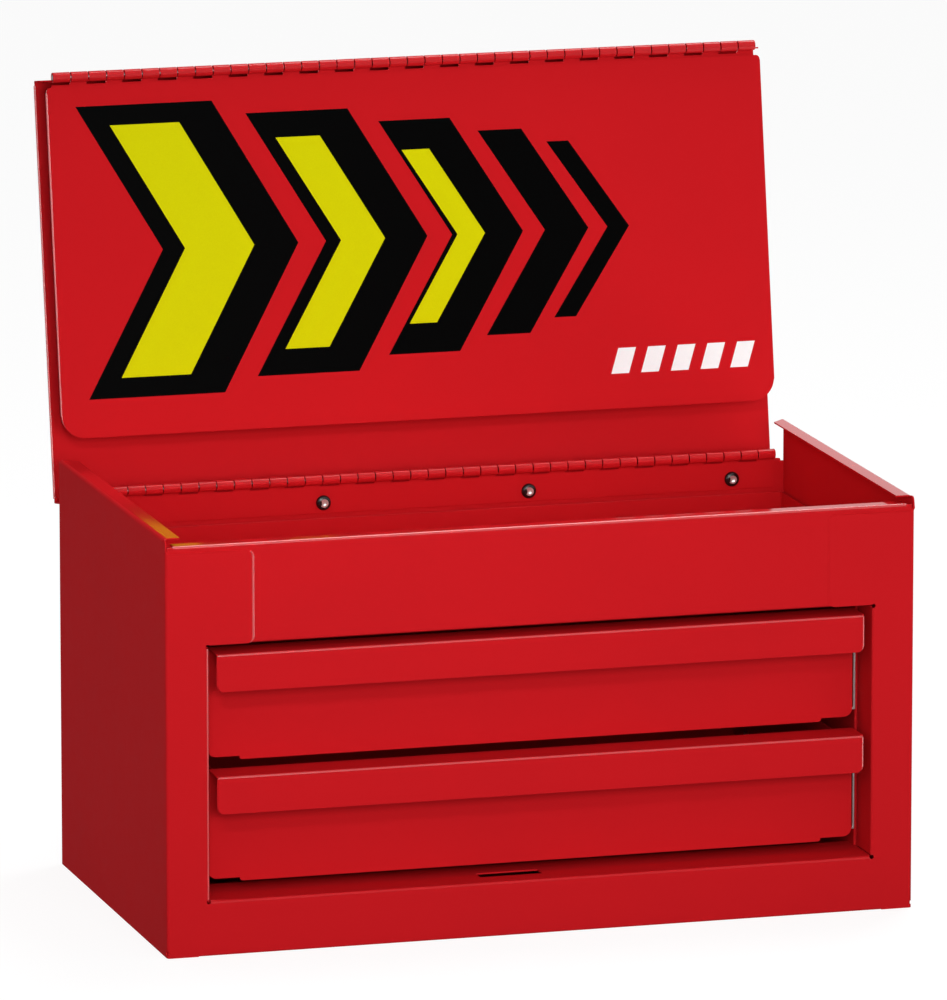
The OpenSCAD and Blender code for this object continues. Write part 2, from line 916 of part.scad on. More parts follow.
case_shell();
upper_front_panel();
bottom_panel();
back_panel();
compartment_pan();
left_slide_carrier();
right_slide_carrier();
case_slide(upper_ledge_z);  // upper_left_case_slide
mirror([1, 0, 0]) case_slide(upper_ledge_z);  // upper_right_case_slide
case_slide(lower_ledge_z);  // lower_left_case_slide
mirror([1, 0, 0]) case_slide(lower_ledge_z);  // lower_right_case_slide
case_slide_screws();
rear_hinge_case_leaf();
rear_hinge_pin();
rear_hinge_screws();
rear_hinge_nuts();
lid_panel();
rear_hinge_lid_leaf();
front_hinge_lid_leaf();
front_hinge_pin();
left_handle_bracket();
right_handle_bracket();
handle_rivets();
cover_panel();
front_hinge_cover_leaf();
handle_bail();
handle_grip();
drawer_body(upper_ledge_z);  // upper_drawer_body
drawer_front(upper_ledge_z);  // upper_drawer_front
drawer_slide_screws(upper_ledge_z);  // upper_drawer_slide_screws
drawer_slide(upper_ledge_z);  // upper_left_drawer_slide
mirror([1, 0, 0]) drawer_slide(upper_ledge_z);  // upper_right_drawer_slide
middle_slide(upper_ledge_z);  // upper_left_middle_slide
mirror([1, 0, 0]) middle_slide(upper_ledge_z);  // upper_right_middle_slide
outer_ball_cages(upper_ledge_z);  // upper_outer_ball_cages
inner_ball_cages(upper_ledge_z);  // upper_inner_ball_cages
drawer_body(lower_ledge_z);  // lower_drawer_body
drawer_front(lower_ledge_z);  // lower_drawer_front
drawer_slide_screws(lower_ledge_z);  // lower_drawer_slide_screws
drawer_slide(lower_ledge_z);  // lower_left_drawer_slide
mirror([1, 0, 0]) drawer_slide(lower_ledge_z);  // lower_right_drawer_slide
middle_slide(lower_ledge_z);  // lower_left_middle_slide
mirror([1, 0, 0]) middle_slide(lower_ledge_z);  // lower_right_middle_slide
outer_ball_cages(lower_ledge_z);  // lower_outer_ball_cages
inner_ball_cages(lower_ledge_z);  // lower_inner_ball_cages
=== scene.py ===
"""Portable steel tool box with two drawers, a top compartment, a hinged lid and a front cover.

Metres throughout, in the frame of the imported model: the front faces -Y and Z is up.
"""

import json
import math

import bmesh
import bpy
from mathutils import Matrix, Vector


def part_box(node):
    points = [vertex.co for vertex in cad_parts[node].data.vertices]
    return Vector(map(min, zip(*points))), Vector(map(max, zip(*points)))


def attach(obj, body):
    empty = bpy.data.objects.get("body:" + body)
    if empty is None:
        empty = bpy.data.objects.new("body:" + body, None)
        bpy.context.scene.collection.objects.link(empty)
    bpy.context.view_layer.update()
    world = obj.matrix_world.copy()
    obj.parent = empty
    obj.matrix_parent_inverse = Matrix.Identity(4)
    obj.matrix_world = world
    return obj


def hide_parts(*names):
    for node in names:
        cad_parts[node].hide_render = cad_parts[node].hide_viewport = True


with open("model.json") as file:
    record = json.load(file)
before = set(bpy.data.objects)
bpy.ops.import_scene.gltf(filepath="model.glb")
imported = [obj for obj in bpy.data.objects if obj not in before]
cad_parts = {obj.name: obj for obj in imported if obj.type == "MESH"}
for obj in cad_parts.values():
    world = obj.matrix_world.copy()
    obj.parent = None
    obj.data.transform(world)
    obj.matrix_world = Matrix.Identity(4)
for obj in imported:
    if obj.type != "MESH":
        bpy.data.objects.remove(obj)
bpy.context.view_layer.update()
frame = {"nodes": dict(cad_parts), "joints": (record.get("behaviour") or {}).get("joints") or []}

# ------------------------------------------------------------------ case shell
# One blank of 1 mm steel: front frame, both sides with their top flanges, door jambs and
# sill. It is punched with round reliefs where bends meet, folded on a press brake and
# powder coated in red.

MM = 0.001
SHEET = 1.0 * MM
HALF_SHEET = SHEET / 2
CORNER_BEND = 1.9 * MM
SMALL_BEND = 1.2 * MM
CUT_EDGE = 0.4 * MM
OPENING_HALF = 235.0 * MM
OPENING_TOP = 215.0 * MM
SILL_TOP = 38.0 * MM
SILL_DEPTH = 49.0 * MM
JAMB_DEPTH = 30.0 * MM
JAMB_END_GAP = 1.8 * MM
TAB_INNER = 203.0 * MM
TAB_TOP = 279.0 * MM
TAB_CORNER = 4.0 * MM
SIDE_CORNER = 5.0 * MM
TOP_FLANGE = 11.5 * MM
TOP_BEND = 2.4 * MM
TOP_FLANGE_START = 6.0 * MM
TOP_FLANGE_CHAMFER = 10.0 * MM
FOOT_INNER = 243.0 * MM
FOOT_RISE = 1.0 * MM
RELIEF_RADIUS = 1.5 * MM
RELIEF_OUT = 0.8 * MM
SILL_RELIEF_DROP = 0.4 * MM
TOP_RELIEF_DROP = 1.0 * MM
FOOT_RELIEF_IN = 0.6 * MM
FOOT_RELIEF_HEIGHT = 3.3 * MM
PUNCH_LENGTH = 8.0 * MM
FRONT_ZONE = 3.0 * MM
TAB_EDGE_SLOPE = 1.7 * MM
SLOT_MIDDLE = (-17.7 * MM, 22.4 * MM)
SLOT_SIZE = (44.0 * MM, 12.0 * MM)

case_low, case_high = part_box("case_shell")
HALF = case_high.x
FRONT = case_low.y
BACK = case_high.y
SIDE_TOP = case_high.z


def near(value, target, slack=0.05 * MM):
    return abs(value - target) < slack


def begin(name, middle, size, turn=(0, 0, 0)):
    """Adds a flat rectangle, sized before it is turned, and opens it for editing."""
    bpy.ops.object.select_all(action="DESELECT")
    bpy.ops.mesh.primitive_plane_add(
        size=1, location=middle, rotation=[math.radians(a) for a in turn])
    piece = bpy.context.object
    piece.name = piece.data.name = name
    piece.scale = (size[0], size[1], 1)
    bpy.ops.object.transform_apply(location=True, rotation=True, scale=True)
    bpy.ops.object.mode_set(mode="EDIT")
    return piece


def pick(kind, test):
    """Selects the corners, edges or faces whose middle and direction pass the test."""
    bpy.ops.mesh.select_mode(type=kind)
    bpy.ops.mesh.select_all(action="DESELECT")
    mesh = bmesh.from_edit_mesh(bpy.context.object.data)
    if kind == "VERT":
        found = [v for v in mesh.verts if test(v.co)]
    elif kind == "EDGE":
        found = [e for e in mesh.edges if test((e.verts[0].co + e.verts[1].co) / 2)]
    else:
        found = [f for f in mesh.faces if test(f.calc_center_median())]
    for part in found:
        part.select_set(True)
    bmesh.update_edit_mesh(bpy.context.object.data)


def score(axis, *places):
    """Divides the whole piece straight across an axis at each place."""
    for place in places:
        bpy.ops.mesh.select_all(action="SELECT")
        bpy.ops.mesh.bisect(plane_co=Vector(axis) * place, plane_no=axis)


def drop(test):
    """Takes the chosen faces out of the blank."""
    pick("FACE", test)
    bpy.ops.mesh.delete(type="FACE")


def shift(test, move):
    """Moves the chosen corners of the blank."""
    pick("VERT", test)
    bpy.ops.transform.translate(value=move)


def fold(test, move):
    """Draws the chosen edges out into a flange."""
    pick("EDGE", test)
    bpy.ops.mesh.extrude_edges_move(TRANSFORM_OT_translate={"value": move})


def bend(test, radius, steps=5):
    """Rounds the chosen fold lines."""
    pick("EDGE", test)
    bpy.ops.mesh.bevel(offset=radius, offset_type="OFFSET", segments=steps, affect="EDGES")


def trim(test, radius, steps=6):
    """Rounds the chosen corners of the blank."""
    pick("VERT", test)
    bpy.ops.mesh.bevel(offset=radius, offset_type="OFFSET", segments=steps, affect="VERTICES")


def apply_all(piece):
    bpy.context.view_layer.objects.active = piece
    for step in list(piece.modifiers):
        bpy.ops.object.modifier_apply(modifier=step.name)


def thicken(piece, thickness=SHEET):
    """Gives the folded surface its sheet thickness, half to each side."""
    bpy.ops.mesh.select_all(action="SELECT")
    bpy.ops.mesh.normals_make_consistent(inside=False)
    bpy.ops.object.mode_set(mode="OBJECT")
    wall = piece.modifiers.new("wall", "SOLIDIFY")
    wall.thickness = thickness
    wall.offset = 0
    wall.use_even_offset = True
    apply_all(piece)


def peg(middle, radius, length, axis="Y", sides=24):
    """Adds a round solid whose middle and axis are given."""
    turn = {"X": (0, math.pi / 2, 0), "Y": (math.pi / 2, 0, 0), "Z": (0, 0, 0)}[axis]
    bpy.ops.object.select_all(action="DESELECT")
    bpy.ops.mesh.primitive_cylinder_add(
        vertices=sides, radius=radius, depth=length, location=middle, rotation=turn)
    piece = bpy.context.object
    bpy.ops.object.transform_apply(location=True, rotation=True, scale=True)
    return piece


def punch(piece, cutter):
    """Cuts the shape of another solid out of the piece and discards that solid."""
    hole = piece.modifiers.new("hole", "BOOLEAN")
    hole.object = cutter
    hole.solver = "EXACT"
    apply_all(piece)
    bpy.data.objects.remove(cutter)


def round_edges(piece, edge, steps):
    """Gives the cut edges their round."""
    soft = piece.modifiers.new("edge", "BEVEL")
    soft.width = edge
    soft.segments = steps
    soft.limit_method = "ANGLE"
    soft.angle_limit = math.radians(50)


def is_flat(direction):
    return max(abs(v) for v in direction) > 0.9999


def dress(piece, edge=CUT_EDGE, steps=3, glossy=lambda n, c: False, mirror=lambda n, c: False):
    """Rounds the cut edges, marks the glossier bends and flanges and settles the shading."""
    bpy.ops.object.select_all(action="DESELECT")
    piece.select_set(True)
    bpy.context.view_layer.objects.active = piece
    round_edges(piece, edge, steps)
    apply_all(piece)
    for face in piece.data.polygons:
        if glossy(face.normal, face.center) and not is_flat(face.normal):
            face.material_index = 1
        else:
            face.material_index = 2 if mirror(face.normal, face.center) else 0
    bpy.ops.object.shade_smooth_by_angle(angle=math.radians(40))
    level = piece.modifiers.new("level", "WEIGHTED_NORMAL")
    level.keep_sharp = True
    apply_all(piece)


def fit(piece, body, nodes, slot, *finish):
    """Gives a finished piece its finish and fixes it to its part of the box."""
    for material in finish:
        piece.data.materials.append(material)
    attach(piece, body)
    if nodes:
        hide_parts(*nodes)


def keep(nodes, slot, *finish, edge=CUT_EDGE):
    """Finishes parts that are used as the model gives them, with their edges rounded."""
    for name in nodes:
        part = frame["nodes"][name]
        part.data.materials.clear()
        for material in finish:
            part.data.materials.append(material)
        weld = part.modifiers.new("weld", "WELD")
        weld.merge_threshold = 0.005 * MM
        level = part.modifiers.new("level", "DECIMATE")
        level.decimate_type = "DISSOLVE"
        level.angle_limit = math.radians(0.5)
        if edge:
            round_edges(part, edge, 2)


def linear(code):
    """An sRGB hex colour as the linear colour that a shader takes."""
    parts = [int(code[i:i + 2], 16) / 255 for i in (0, 2, 4)]
    return [p / 12.92 if p <= 0.04045 else ((p + 0.055) / 1.055) ** 2.4 for p in parts] + [1.0]


def add(tree, kind, values=None, links=None, **settings):
    """Adds a node with its settings, its socket values and its inputs."""
    node = tree.nodes.new(kind)
    for name, value in settings.items():
        setattr(node, name, value)
    for name, value in (values or {}).items():
        node.inputs[name].default_value = value
    for name, source in (links or {}).items():
        tree.links.new(source, node.inputs[name])
    return node


def start_material(name):
    material = bpy.data.materials.new(name)
    material.use_nodes = True
    material.node_tree.nodes.clear()
    return material, material.node_tree


# Polyester powder baked on steel: a closed skin with a faint orange peel of about 1.5 mm,
# and a slow drift of colour where the film is thicker. It is satin on the flats, glossier
# on tight bends, rims and rolled knuckles, where the melted powder pulls smooth, and
# smoothest on the flanges that lay level in the oven.
COAT_PEEL = 1.5 * MM
COAT_FLOW = 9.0 * MM
COAT_DRIFT = 110.0 * MM
COAT_DEEP = "BF1A20"
COAT_LIGHT = "C71A20"


def make_coat(name, gloss, smoothest, roughest):
    material, tree = start_material(name)
    place = add(tree, "ShaderNodeTexCoord").outputs["Object"]
    drift = add(tree, "ShaderNodeTexNoise", {"Scale": 1 / COAT_DRIFT, "Detail": 2.0}, {"Vector": place})
    tone = add(tree, "ShaderNodeMix", {"A": linear(COAT_DEEP), "B": linear(COAT_LIGHT)},
               {"Factor": drift.outputs["Fac"]}, data_type="RGBA")
    peel = add(tree, "ShaderNodeTexNoise", {"Scale": 1 / COAT_PEEL, "Detail": 2.0}, {"Vector": place})
    flow = add(tree, "ShaderNodeTexNoise", {"Scale": 1 / COAT_FLOW, "Detail": 1.0}, {"Vector": place})
    satin = add(tree, "ShaderNodeMapRange", {"To Min": smoothest, "To Max": roughest},
                {"Value": flow.outputs["Fac"]})
    skin = add(tree, "ShaderNodeBump", {"Strength": 0.08, "Distance": 0.05 * MM},
               {"Height": peel.outputs["Fac"]})
    paint = add(tree, "ShaderNodeBsdfPrincipled", {"Specular IOR Level": gloss},
                {"Base Color": tone.outputs["Result"], "Roughness": satin.outputs["Result"],
                 "Normal": skin.outputs["Normal"]})
    add(tree, "ShaderNodeOutputMaterial", {}, {"Surface": paint.outputs["BSDF"]})
    return material


red_coat = make_coat("red_powder_coat", 0.003, 0.44, 0.54)
red_rims = make_coat("red_powder_coat_on_bends", 0.9, 0.14, 0.22)
red_tops = make_coat("red_powder_coat_on_level_flanges", 0.16, 0.08, 0.12)

SIDE_MID = HALF - HALF_SHEET
FRONT_MID = FRONT + HALF_SHEET
JAMB_MID = OPENING_HALF + HALF_SHEET
SILL_MID = SILL_TOP - HALF_SHEET
TOP_MID = SIDE_TOP - HALF_SHEET


def on_jamb(m):
    return near(abs(m.x), JAMB_MID) and near(m.y, FRONT_MID) \
        and SILL_MID + JAMB_END_GAP < m.z < OPENING_TOP - JAMB_END_GAP


def on_sill(m):
    return near(m.z, SILL_MID) and near(m.y, FRONT_MID) and abs(m.x) < JAMB_MID - 0.2 * MM


shell = begin("folded_case_shell", (0, FRONT_MID, SIDE_TOP / 2), (2 * SIDE_MID, SIDE_TOP), (90, 0, 0))
score((1, 0, 0), -JAMB_MID, JAMB_MID, -TAB_INNER, TAB_INNER, -FOOT_INNER, FOOT_INNER)
score((0, 0, 1), SILL_MID, SILL_MID + JAMB_END_GAP, OPENING_TOP - JAMB_END_GAP, OPENING_TOP, TAB_TOP,
      FOOT_RISE)
drop(lambda m: abs(m.x) < JAMB_MID and SILL_MID < m.z < OPENING_TOP)
drop(lambda m: abs(m.x) < TAB_INNER and m.z > OPENING_TOP)
drop(lambda m: abs(m.x) < FOOT_INNER and m.z < FOOT_RISE)
fold(lambda m: near(abs(m.x), SIDE_MID), (0, BACK - FRONT_MID, 0))
drop(lambda m: near(m.y, FRONT_MID) and m.z > TAB_TOP)
score((0, 1, 0), FRONT + TOP_FLANGE_START)
shift(lambda p: near(p.z, SIDE_TOP), (0, 0, -HALF_SHEET))
for side in (-1, 1):
    fold(lambda m: near(m.x, side * SIDE_MID) and near(m.z, TOP_MID) and m.y > FRONT + TOP_FLANGE_START,
         (-side * (TOP_FLANGE - HALF_SHEET), 0, 0))
shift(lambda p: near(abs(p.x), HALF - TOP_FLANGE) and near(p.z, TOP_MID) and near(p.y, BACK),
      (0, -TOP_FLANGE_CHAMFER - SHEET, 0))
fold(on_jamb, (0, JAMB_DEPTH - HALF_SHEET, 0))
fold(on_sill, (0, SILL_DEPTH - HALF_SHEET, 0))
trim(lambda p: near(abs(p.x), TAB_INNER) and near(p.y, FRONT_MID)
     and (near(p.z, OPENING_TOP) or near(p.z, TAB_TOP)), TAB_CORNER)
bend(lambda m: near(abs(m.x), SIDE_MID) and near(m.y, FRONT_MID) and m.z < TAB_TOP, CORNER_BEND)
bend(lambda m: near(abs(m.x), SIDE_MID) and near(m.z, TOP_MID) and m.y > FRONT + TOP_FLANGE_START,
     TOP_BEND)
bend(on_jamb, SMALL_BEND)
bend(on_sill, SMALL_BEND)
trim(lambda p: near(abs(p.x), SIDE_MID) and near(p.z, TOP_MID) and p.y < FRONT + FRONT_ZONE, SIDE_CORNER)
thicken(shell)
bpy.ops.object.mode_set(mode="EDIT")
for side in (-1, 1):
    shift(lambda p: near(p.y, FRONT) and side * p.x < TAB_INNER + TAB_CORNER + 0.1 * MM
          and side * p.x > 0 and p.z > OPENING_TOP - 0.1 * MM, (side * TAB_EDGE_SLOPE, 0, 0))
bpy.ops.object.mode_set(mode="OBJECT")
for side in (-1, 1):
    for across, height in ((OPENING_HALF + RELIEF_OUT, SILL_TOP - SILL_RELIEF_DROP),
                           (OPENING_HALF + RELIEF_OUT, OPENING_TOP - TOP_RELIEF_DROP),
                           (HALF - FOOT_RELIEF_IN, FOOT_RELIEF_HEIGHT)):
        punch(shell, peg((side * across, FRONT, height), RELIEF_RADIUS, PUNCH_LENGTH))
bpy.ops.mesh.primitive_cube_add(size=1, location=(SLOT_MIDDLE[0], FRONT + SLOT_MIDDLE[1], SILL_MID))
slot_punch = bpy.context.object
slot_punch.scale = (SLOT_SIZE[0], SLOT_SIZE[1], PUNCH_LENGTH)
bpy.context.view_layer.update()
punch(shell, slot_punch)
dress(shell,
      glossy=lambda n, c: n.x > 0.1 and near(c.x, -OPENING_HALF, FRONT_ZONE) and c.y < FRONT + FRONT_ZONE
      or n.x > 0.1 and near(c.x, -TAB_INNER, FRONT_ZONE),
      mirror=lambda n, c: n.z > 0.9 and c.z > SIDE_TOP - SHEET
      or n.z > 0.1 and near(c.z, SILL_TOP, 2 * SHEET) and c.y < FRONT + FRONT_ZONE)
fit(shell, "case", ["case_shell"], "red_powder_coat", red_coat, red_rims, red_tops)

# ------------------------------------------------------------------ upper front panel
# A flanged strip of the same sheet closes the front of the top compartment. It sits
# behind the shell's two tabs, is spot welded to them and coated with the shell.

PANEL_TOP = 284.0 * MM
PANEL_SIDE_GAP = 0.6 * MM
PANEL_TOP_FLANGE = 10.0 * MM
PANEL_TOP_INSET = 5.0 * MM
PANEL_BOTTOM_FLANGE = 12.0 * MM
PANEL_MID = FRONT_MID + SHEET

panel_half = HALF - SHEET - PANEL_SIDE_GAP
panel_low = OPENING_TOP + HALF_SHEET
panel_high = PANEL_TOP - HALF_SHEET
top_half = HALF - SHEET - PANEL_TOP_INSET
bottom_half = OPENING_HALF - SHEET
front_panel = begin("flanged_front_panel", (0, PANEL_MID, (panel_low + panel_high) / 2),
                    (2 * panel_half, panel_high - panel_low), (90, 0, 0))
score((1, 0, 0), -top_half, top_half, -bottom_half, bottom_half)
fold(lambda m: near(m.z, panel_high) and abs(m.x) < top_half, (0, PANEL_TOP_FLANGE - HALF_SHEET, 0))
fold(lambda m: near(m.z, panel_low) and abs(m.x) < bottom_half, (0, PANEL_BOTTOM_FLANGE - HALF_SHEET, 0))
bend(lambda m: near(m.z, panel_high) and near(m.y, PANEL_MID) and abs(m.x) < top_half, SMALL_BEND)
bend(lambda m: near(m.z, panel_low) and near(m.y, PANEL_MID) and abs(m.x) < bottom_half, SMALL_BEND)
thicken(front_panel)
dress(front_panel, glossy=lambda n, c: 0.1 < n.z < 0.95 and n.y < 0 and c.z > PANEL_TOP - FRONT_ZONE,
      mirror=lambda n, c: n.z > 0.1 and c.z > PANEL_TOP - FRONT_ZONE)
fit(front_panel, "case", ["upper_front_panel"], "red_powder_coat", red_coat, red_rims, red_tops)

# ------------------------------------------------------------------ bottom and back
# Two flat panels of the same 1 mm sheet with turned edges. They are spot welded inside
# the shell and coated with it.

keep(["bottom_panel", "back_panel"], "red_powder_coat", red_coat)

# ------------------------------------------------------------------ compartment pan
# A shallow tray of 1 mm sheet with all four sides folded up. It lies on the front panel's
# lower flange and the slide carriers, and divides the top compartment from the drawers.

PAN_FLOOR = 216.0 * MM
PAN_RIM = 236.7 * MM
PAN_BEND = 1.4 * MM

pan_low, pan_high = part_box("compartment_pan")
pan_half = pan_high.x - HALF_SHEET
pan_front = pan_low.y + HALF_SHEET
pan_back = pan_high.y - HALF_SHEET
pan_mid = PAN_FLOOR + HALF_SHEET
pan = begin("folded_compartment_pan", (0, (pan_front + pan_back) / 2, pan_mid),
            (2 * pan_half, pan_back - pan_front))
fold(lambda m: True, (0, 0, PAN_RIM - pan_mid))
bend(lambda m: near(m.z, pan_mid) or near(m.z, (pan_mid + PAN_RIM) / 2), PAN_BEND)
thicken(pan)
dress(pan, glossy=lambda n, c: c.z > PAN_RIM - SHEET)
fit(pan, "case", ["compartment_pan"], "red_powder_coat", red_coat, red_tops)

# ------------------------------------------------------------------ slide carriers
# Upright channels folded from 1.2 mm sheet, spot welded behind the jambs. The drawer
# slides are screwed to them.

keep(["left_slide_carrier", "right_slide_carrier"], "red_powder_coat", red_coat)

# ------------------------------------------------------------------ ball slides
# Telescopic slides rolled from steel strip and zinc plated: a member on the carrier, one
# in the middle and one on the drawer, with balls in punched cages running between them.


def name_slides(kind):
    return [f"{level}_{side}_{kind}_slide" for level in ("upper", "lower") for side in ("left", "right")]


# Bright zinc on rolled strip: silvery, a little uneven, with faint lines along the
# rolling direction and greyer patches where the plating is thin.
ZINC_LINE = 0.6 * MM
ZINC_PATCH = 12.0 * MM
zinc_plate, tree = start_material("zinc_plated_steel")
place = add(tree, "ShaderNodeTexCoord").outputs["Object"]
along = add(tree, "ShaderNodeMapping", {"Scale": (1.0, 0.03, 1.0)}, {"Vector": place})
lines = add(tree, "ShaderNodeTexNoise", {"Scale": 1 / ZINC_LINE, "Detail": 2.0},
            {"Vector": along.outputs["Vector"]})
patch = add(tree, "ShaderNodeTexNoise", {"Scale": 1 / ZINC_PATCH, "Detail": 3.0}, {"Vector": place})
silver = add(tree, "ShaderNodeMix", {"A": linear("CFD0CE"), "B": linear("F0F1EE")},
             {"Factor": patch.outputs["Fac"]}, data_type="RGBA")
worn = add(tree, "ShaderNodeMapRange", {"To Min": 0.22, "To Max": 0.42}, {"Value": lines.outputs["Fac"]})
rolled = add(tree, "ShaderNodeBump", {"Strength": 0.6, "Distance": 0.08 * MM},
             {"Height": lines.outputs["Fac"]})
plate = add(tree, "ShaderNodeBsdfPrincipled", {"Metallic": 1.0},
            {"Base Color": silver.outputs["Result"], "Roughness": worn.outputs["Result"],
             "Normal": rolled.outputs["Normal"]})
add(tree, "ShaderNodeOutputMaterial", {}, {"Surface": plate.outputs["BSDF"]})

keep(name_slides("case") + name_slides("middle") + name_slides("drawer"), "zinc_plate", zinc_plate)
keep(["upper_outer_ball_cages", "upper_inner_ball_cages", "lower_outer_ball_cages",
      "lower_inner_ball_cages"], "zinc_plate", zinc_plate, edge=0)
keep(["case_slide_screws", "upper_drawer_slide_screws", "lower_drawer_slide_screws"],
     "zinc_plate", zinc_plate)

# ------------------------------------------------------------------ rear hinge
# A piano hinge rolled from 1 mm strip: every second knuckle belongs to the leaf on the
# back wall, the others to the leaf inside the lid. Both are coated with the box. Four
# domed socket screws and nuts hold the leaf to the back wall.

KNUCKLES = 40
HINGE_LENGTH = 512.0 * MM
PITCH = HINGE_LENGTH / KNUCKLES
KNUCKLE_GAP = 0.7 * MM
KNUCKLE_RADIUS = 3.6 * MM
LEAF_START = 5.3 * MM
ROLL_ANGLE = 305.0
ROLL_STEPS = 24
CASE_LEAF = 24.7 * MM
REAR_LID_LEAF = 27.5 * MM
SCREW_HEAD_RADIUS = 5.3 * MM
SCREW_HEAD_HEIGHT = 3.2 * MM
SCREW_RADIUS = 2.5 * MM
SCREW_LENGTH = 8.0 * MM
SOCKET_RADIUS = 1.9 * MM
SOCKET_DEPTH = 1.8 * MM
HEAD_ROUND = 2.3 * MM
SCREW_EDGE = 0.15 * MM
KNUCKLE_EDGE = 0.3 * MM
SCREW_HEIGHT = 247.8 * MM
SCREW_PLACES = (-225.0 * MM, -75.0 * MM, 75.0 * MM, 225.0 * MM)

joint_place = {j["name"]: Vector(j["pos_m"]) for j in frame["joints"] if j["type"] == "hinge"}
REAR_AXIS = joint_place["lid_swing"]
FRONT_AXIS = joint_place["cover_swing"]
HANDLE_AXIS = joint_place["handle_swing"]
LID_OPEN = [j["range_deg"][1] for j in frame["joints"] if j["name"] == "lid_swing"][0]


def about(axis_place, turn):
    """The turn about an axis along X through a place."""
    return Matrix.Translation(axis_place) @ Matrix.Rotation(math.radians(turn), 4, "X") \
        @ Matrix.Translation(-axis_place)


opened = about(REAR_AXIS, -LID_OPEN)
shut_front_axis = opened.inverted() @ FRONT_AXIS
upright = Matrix.Rotation(math.pi, 4, Vector((0, 1, 1)))


def roll_leaf(name, width):
    """A hinge leaf along +Y whose second knuckle, and every other one, is rolled round the X axis."""
    middle = KNUCKLE_RADIUS - HALF_SHEET
    piece = begin(name, (0, (LEAF_START + width) / 2, middle), (HINGE_LENGTH, width - LEAF_START))
    edges = [i * PITCH - HINGE_LENGTH / 2 for i in range(1, KNUCKLES)]
    score((1, 0, 0), *[e + gap for e in edges for gap in (-KNUCKLE_GAP / 2, KNUCKLE_GAP / 2)])
    knuckle_middles = [(i + 0.5) * PITCH - HINGE_LENGTH / 2 for i in range(1, KNUCKLES, 2)]
    fold(lambda m: near(m.y, LEAF_START) and min(abs(m.x - k) for k in knuckle_middles) < PITCH / 4,
         (0, -LEAF_START, 0))
    bpy.ops.mesh.spin(steps=ROLL_STEPS, angle=math.radians(ROLL_ANGLE), center=(0, 0, 0), axis=(-1, 0, 0))
    bpy.ops.mesh.select_all(action="SELECT")
    bpy.ops.mesh.remove_doubles(threshold=0.01 * MM)
    thicken(piece)
    dress(piece, KNUCKLE_EDGE, glossy=lambda n, c: c.y < LEAF_START)
    return piece


case_leaf = roll_leaf("rolled_rear_hinge_case_leaf", CASE_LEAF)
case_leaf.data.transform(Matrix.Translation(REAR_AXIS) @ Matrix.Rotation(-math.pi / 2, 4, "X"))
fit(case_leaf, "case", ["rear_hinge_case_leaf"], "red_powder_coat", red_coat, red_tops)

rear_lid_leaf = roll_leaf("rolled_rear_hinge_lid_leaf", REAR_LID_LEAF)
rear_lid_leaf.data.transform(opened @ Matrix.Translation(REAR_AXIS) @ upright)
fit(rear_lid_leaf, "lid", ["rear_hinge_lid_leaf"], "red_powder_coat", red_coat, red_tops)

# Black oxide on turned steel: almost black, glossy from its oil, with fine turning marks
# and a browner cast where the film is thin.
TURNING_MARK = 0.5 * MM
black_oxide, tree = start_material("black_oxide_steel")
place = add(tree, "ShaderNodeTexCoord").outputs["Object"]
marks = add(tree, "ShaderNodeTexNoise", {"Scale": 1 / TURNING_MARK, "Detail": 2.0}, {"Vector": place})
cast = add(tree, "ShaderNodeMix", {"A": linear("0A0A0D"), "B": linear("161412")},
           {"Factor": marks.outputs["Fac"]}, data_type="RGBA")
oiled = add(tree, "ShaderNodeMapRange", {"To Min": 0.16, "To Max": 0.30}, {"Value": marks.outputs["Fac"]})
oxide = add(tree, "ShaderNodeBsdfPrincipled", {"Specular IOR Level": 0.5},
            {"Base Color": cast.outputs["Result"], "Roughness": oiled.outputs["Result"]})
add(tree, "ShaderNodeOutputMaterial", {}, {"Surface": oxide.outputs["BSDF"]})


def make_screw(name, across, face):
    """A button-head screw whose head bears on a wall that faces the front."""
    head = peg((across, face - SCREW_HEAD_HEIGHT / 2, SCREW_HEIGHT), SCREW_HEAD_RADIUS,
               SCREW_HEAD_HEIGHT, sides=40)
    head.name = head.data.name = name
    bpy.ops.object.mode_set(mode="EDIT")
    top = face - SCREW_HEAD_HEIGHT
    pick("EDGE", lambda m: near(m.y, top))
    bpy.ops.mesh.bevel(offset=HEAD_ROUND, offset_type="OFFSET", segments=8, affect="EDGES")
    bpy.ops.object.mode_set(mode="OBJECT")
    punch(head, peg((across, top, SCREW_HEIGHT), SOCKET_RADIUS, 2 * SOCKET_DEPTH, sides=6))
    peg((across, face + SCREW_LENGTH / 2, SCREW_HEIGHT), SCREW_RADIUS, SCREW_LENGTH)
    head.select_set(True)
    bpy.context.view_layer.objects.active = head
    bpy.ops.object.join()
    return head


hinge_screws = [make_screw(f"hinge_screw_{i + 1}", x, BACK - 2 * SHEET)
                for i, x in enumerate(SCREW_PLACES)]
for screw, x in zip(hinge_screws, SCREW_PLACES):
    dress(screw, SCREW_EDGE)
    # The faces inside each socket take the bright zinc finish: a painted glint that stands in for light
    # caught in the socket.
    for face in screw.data.polygons:
        from_axis = math.hypot(face.center.x - x, face.center.z - SCREW_HEIGHT)
        face.material_index = int(from_axis < SOCKET_RADIUS and face.center.y < BACK - 2 * SHEET)
    fit(screw, "case", ["rear_hinge_screws"], "black_steel", black_oxide, zinc_plate)
keep(["rear_hinge_nuts"], "black_steel", black_oxide)
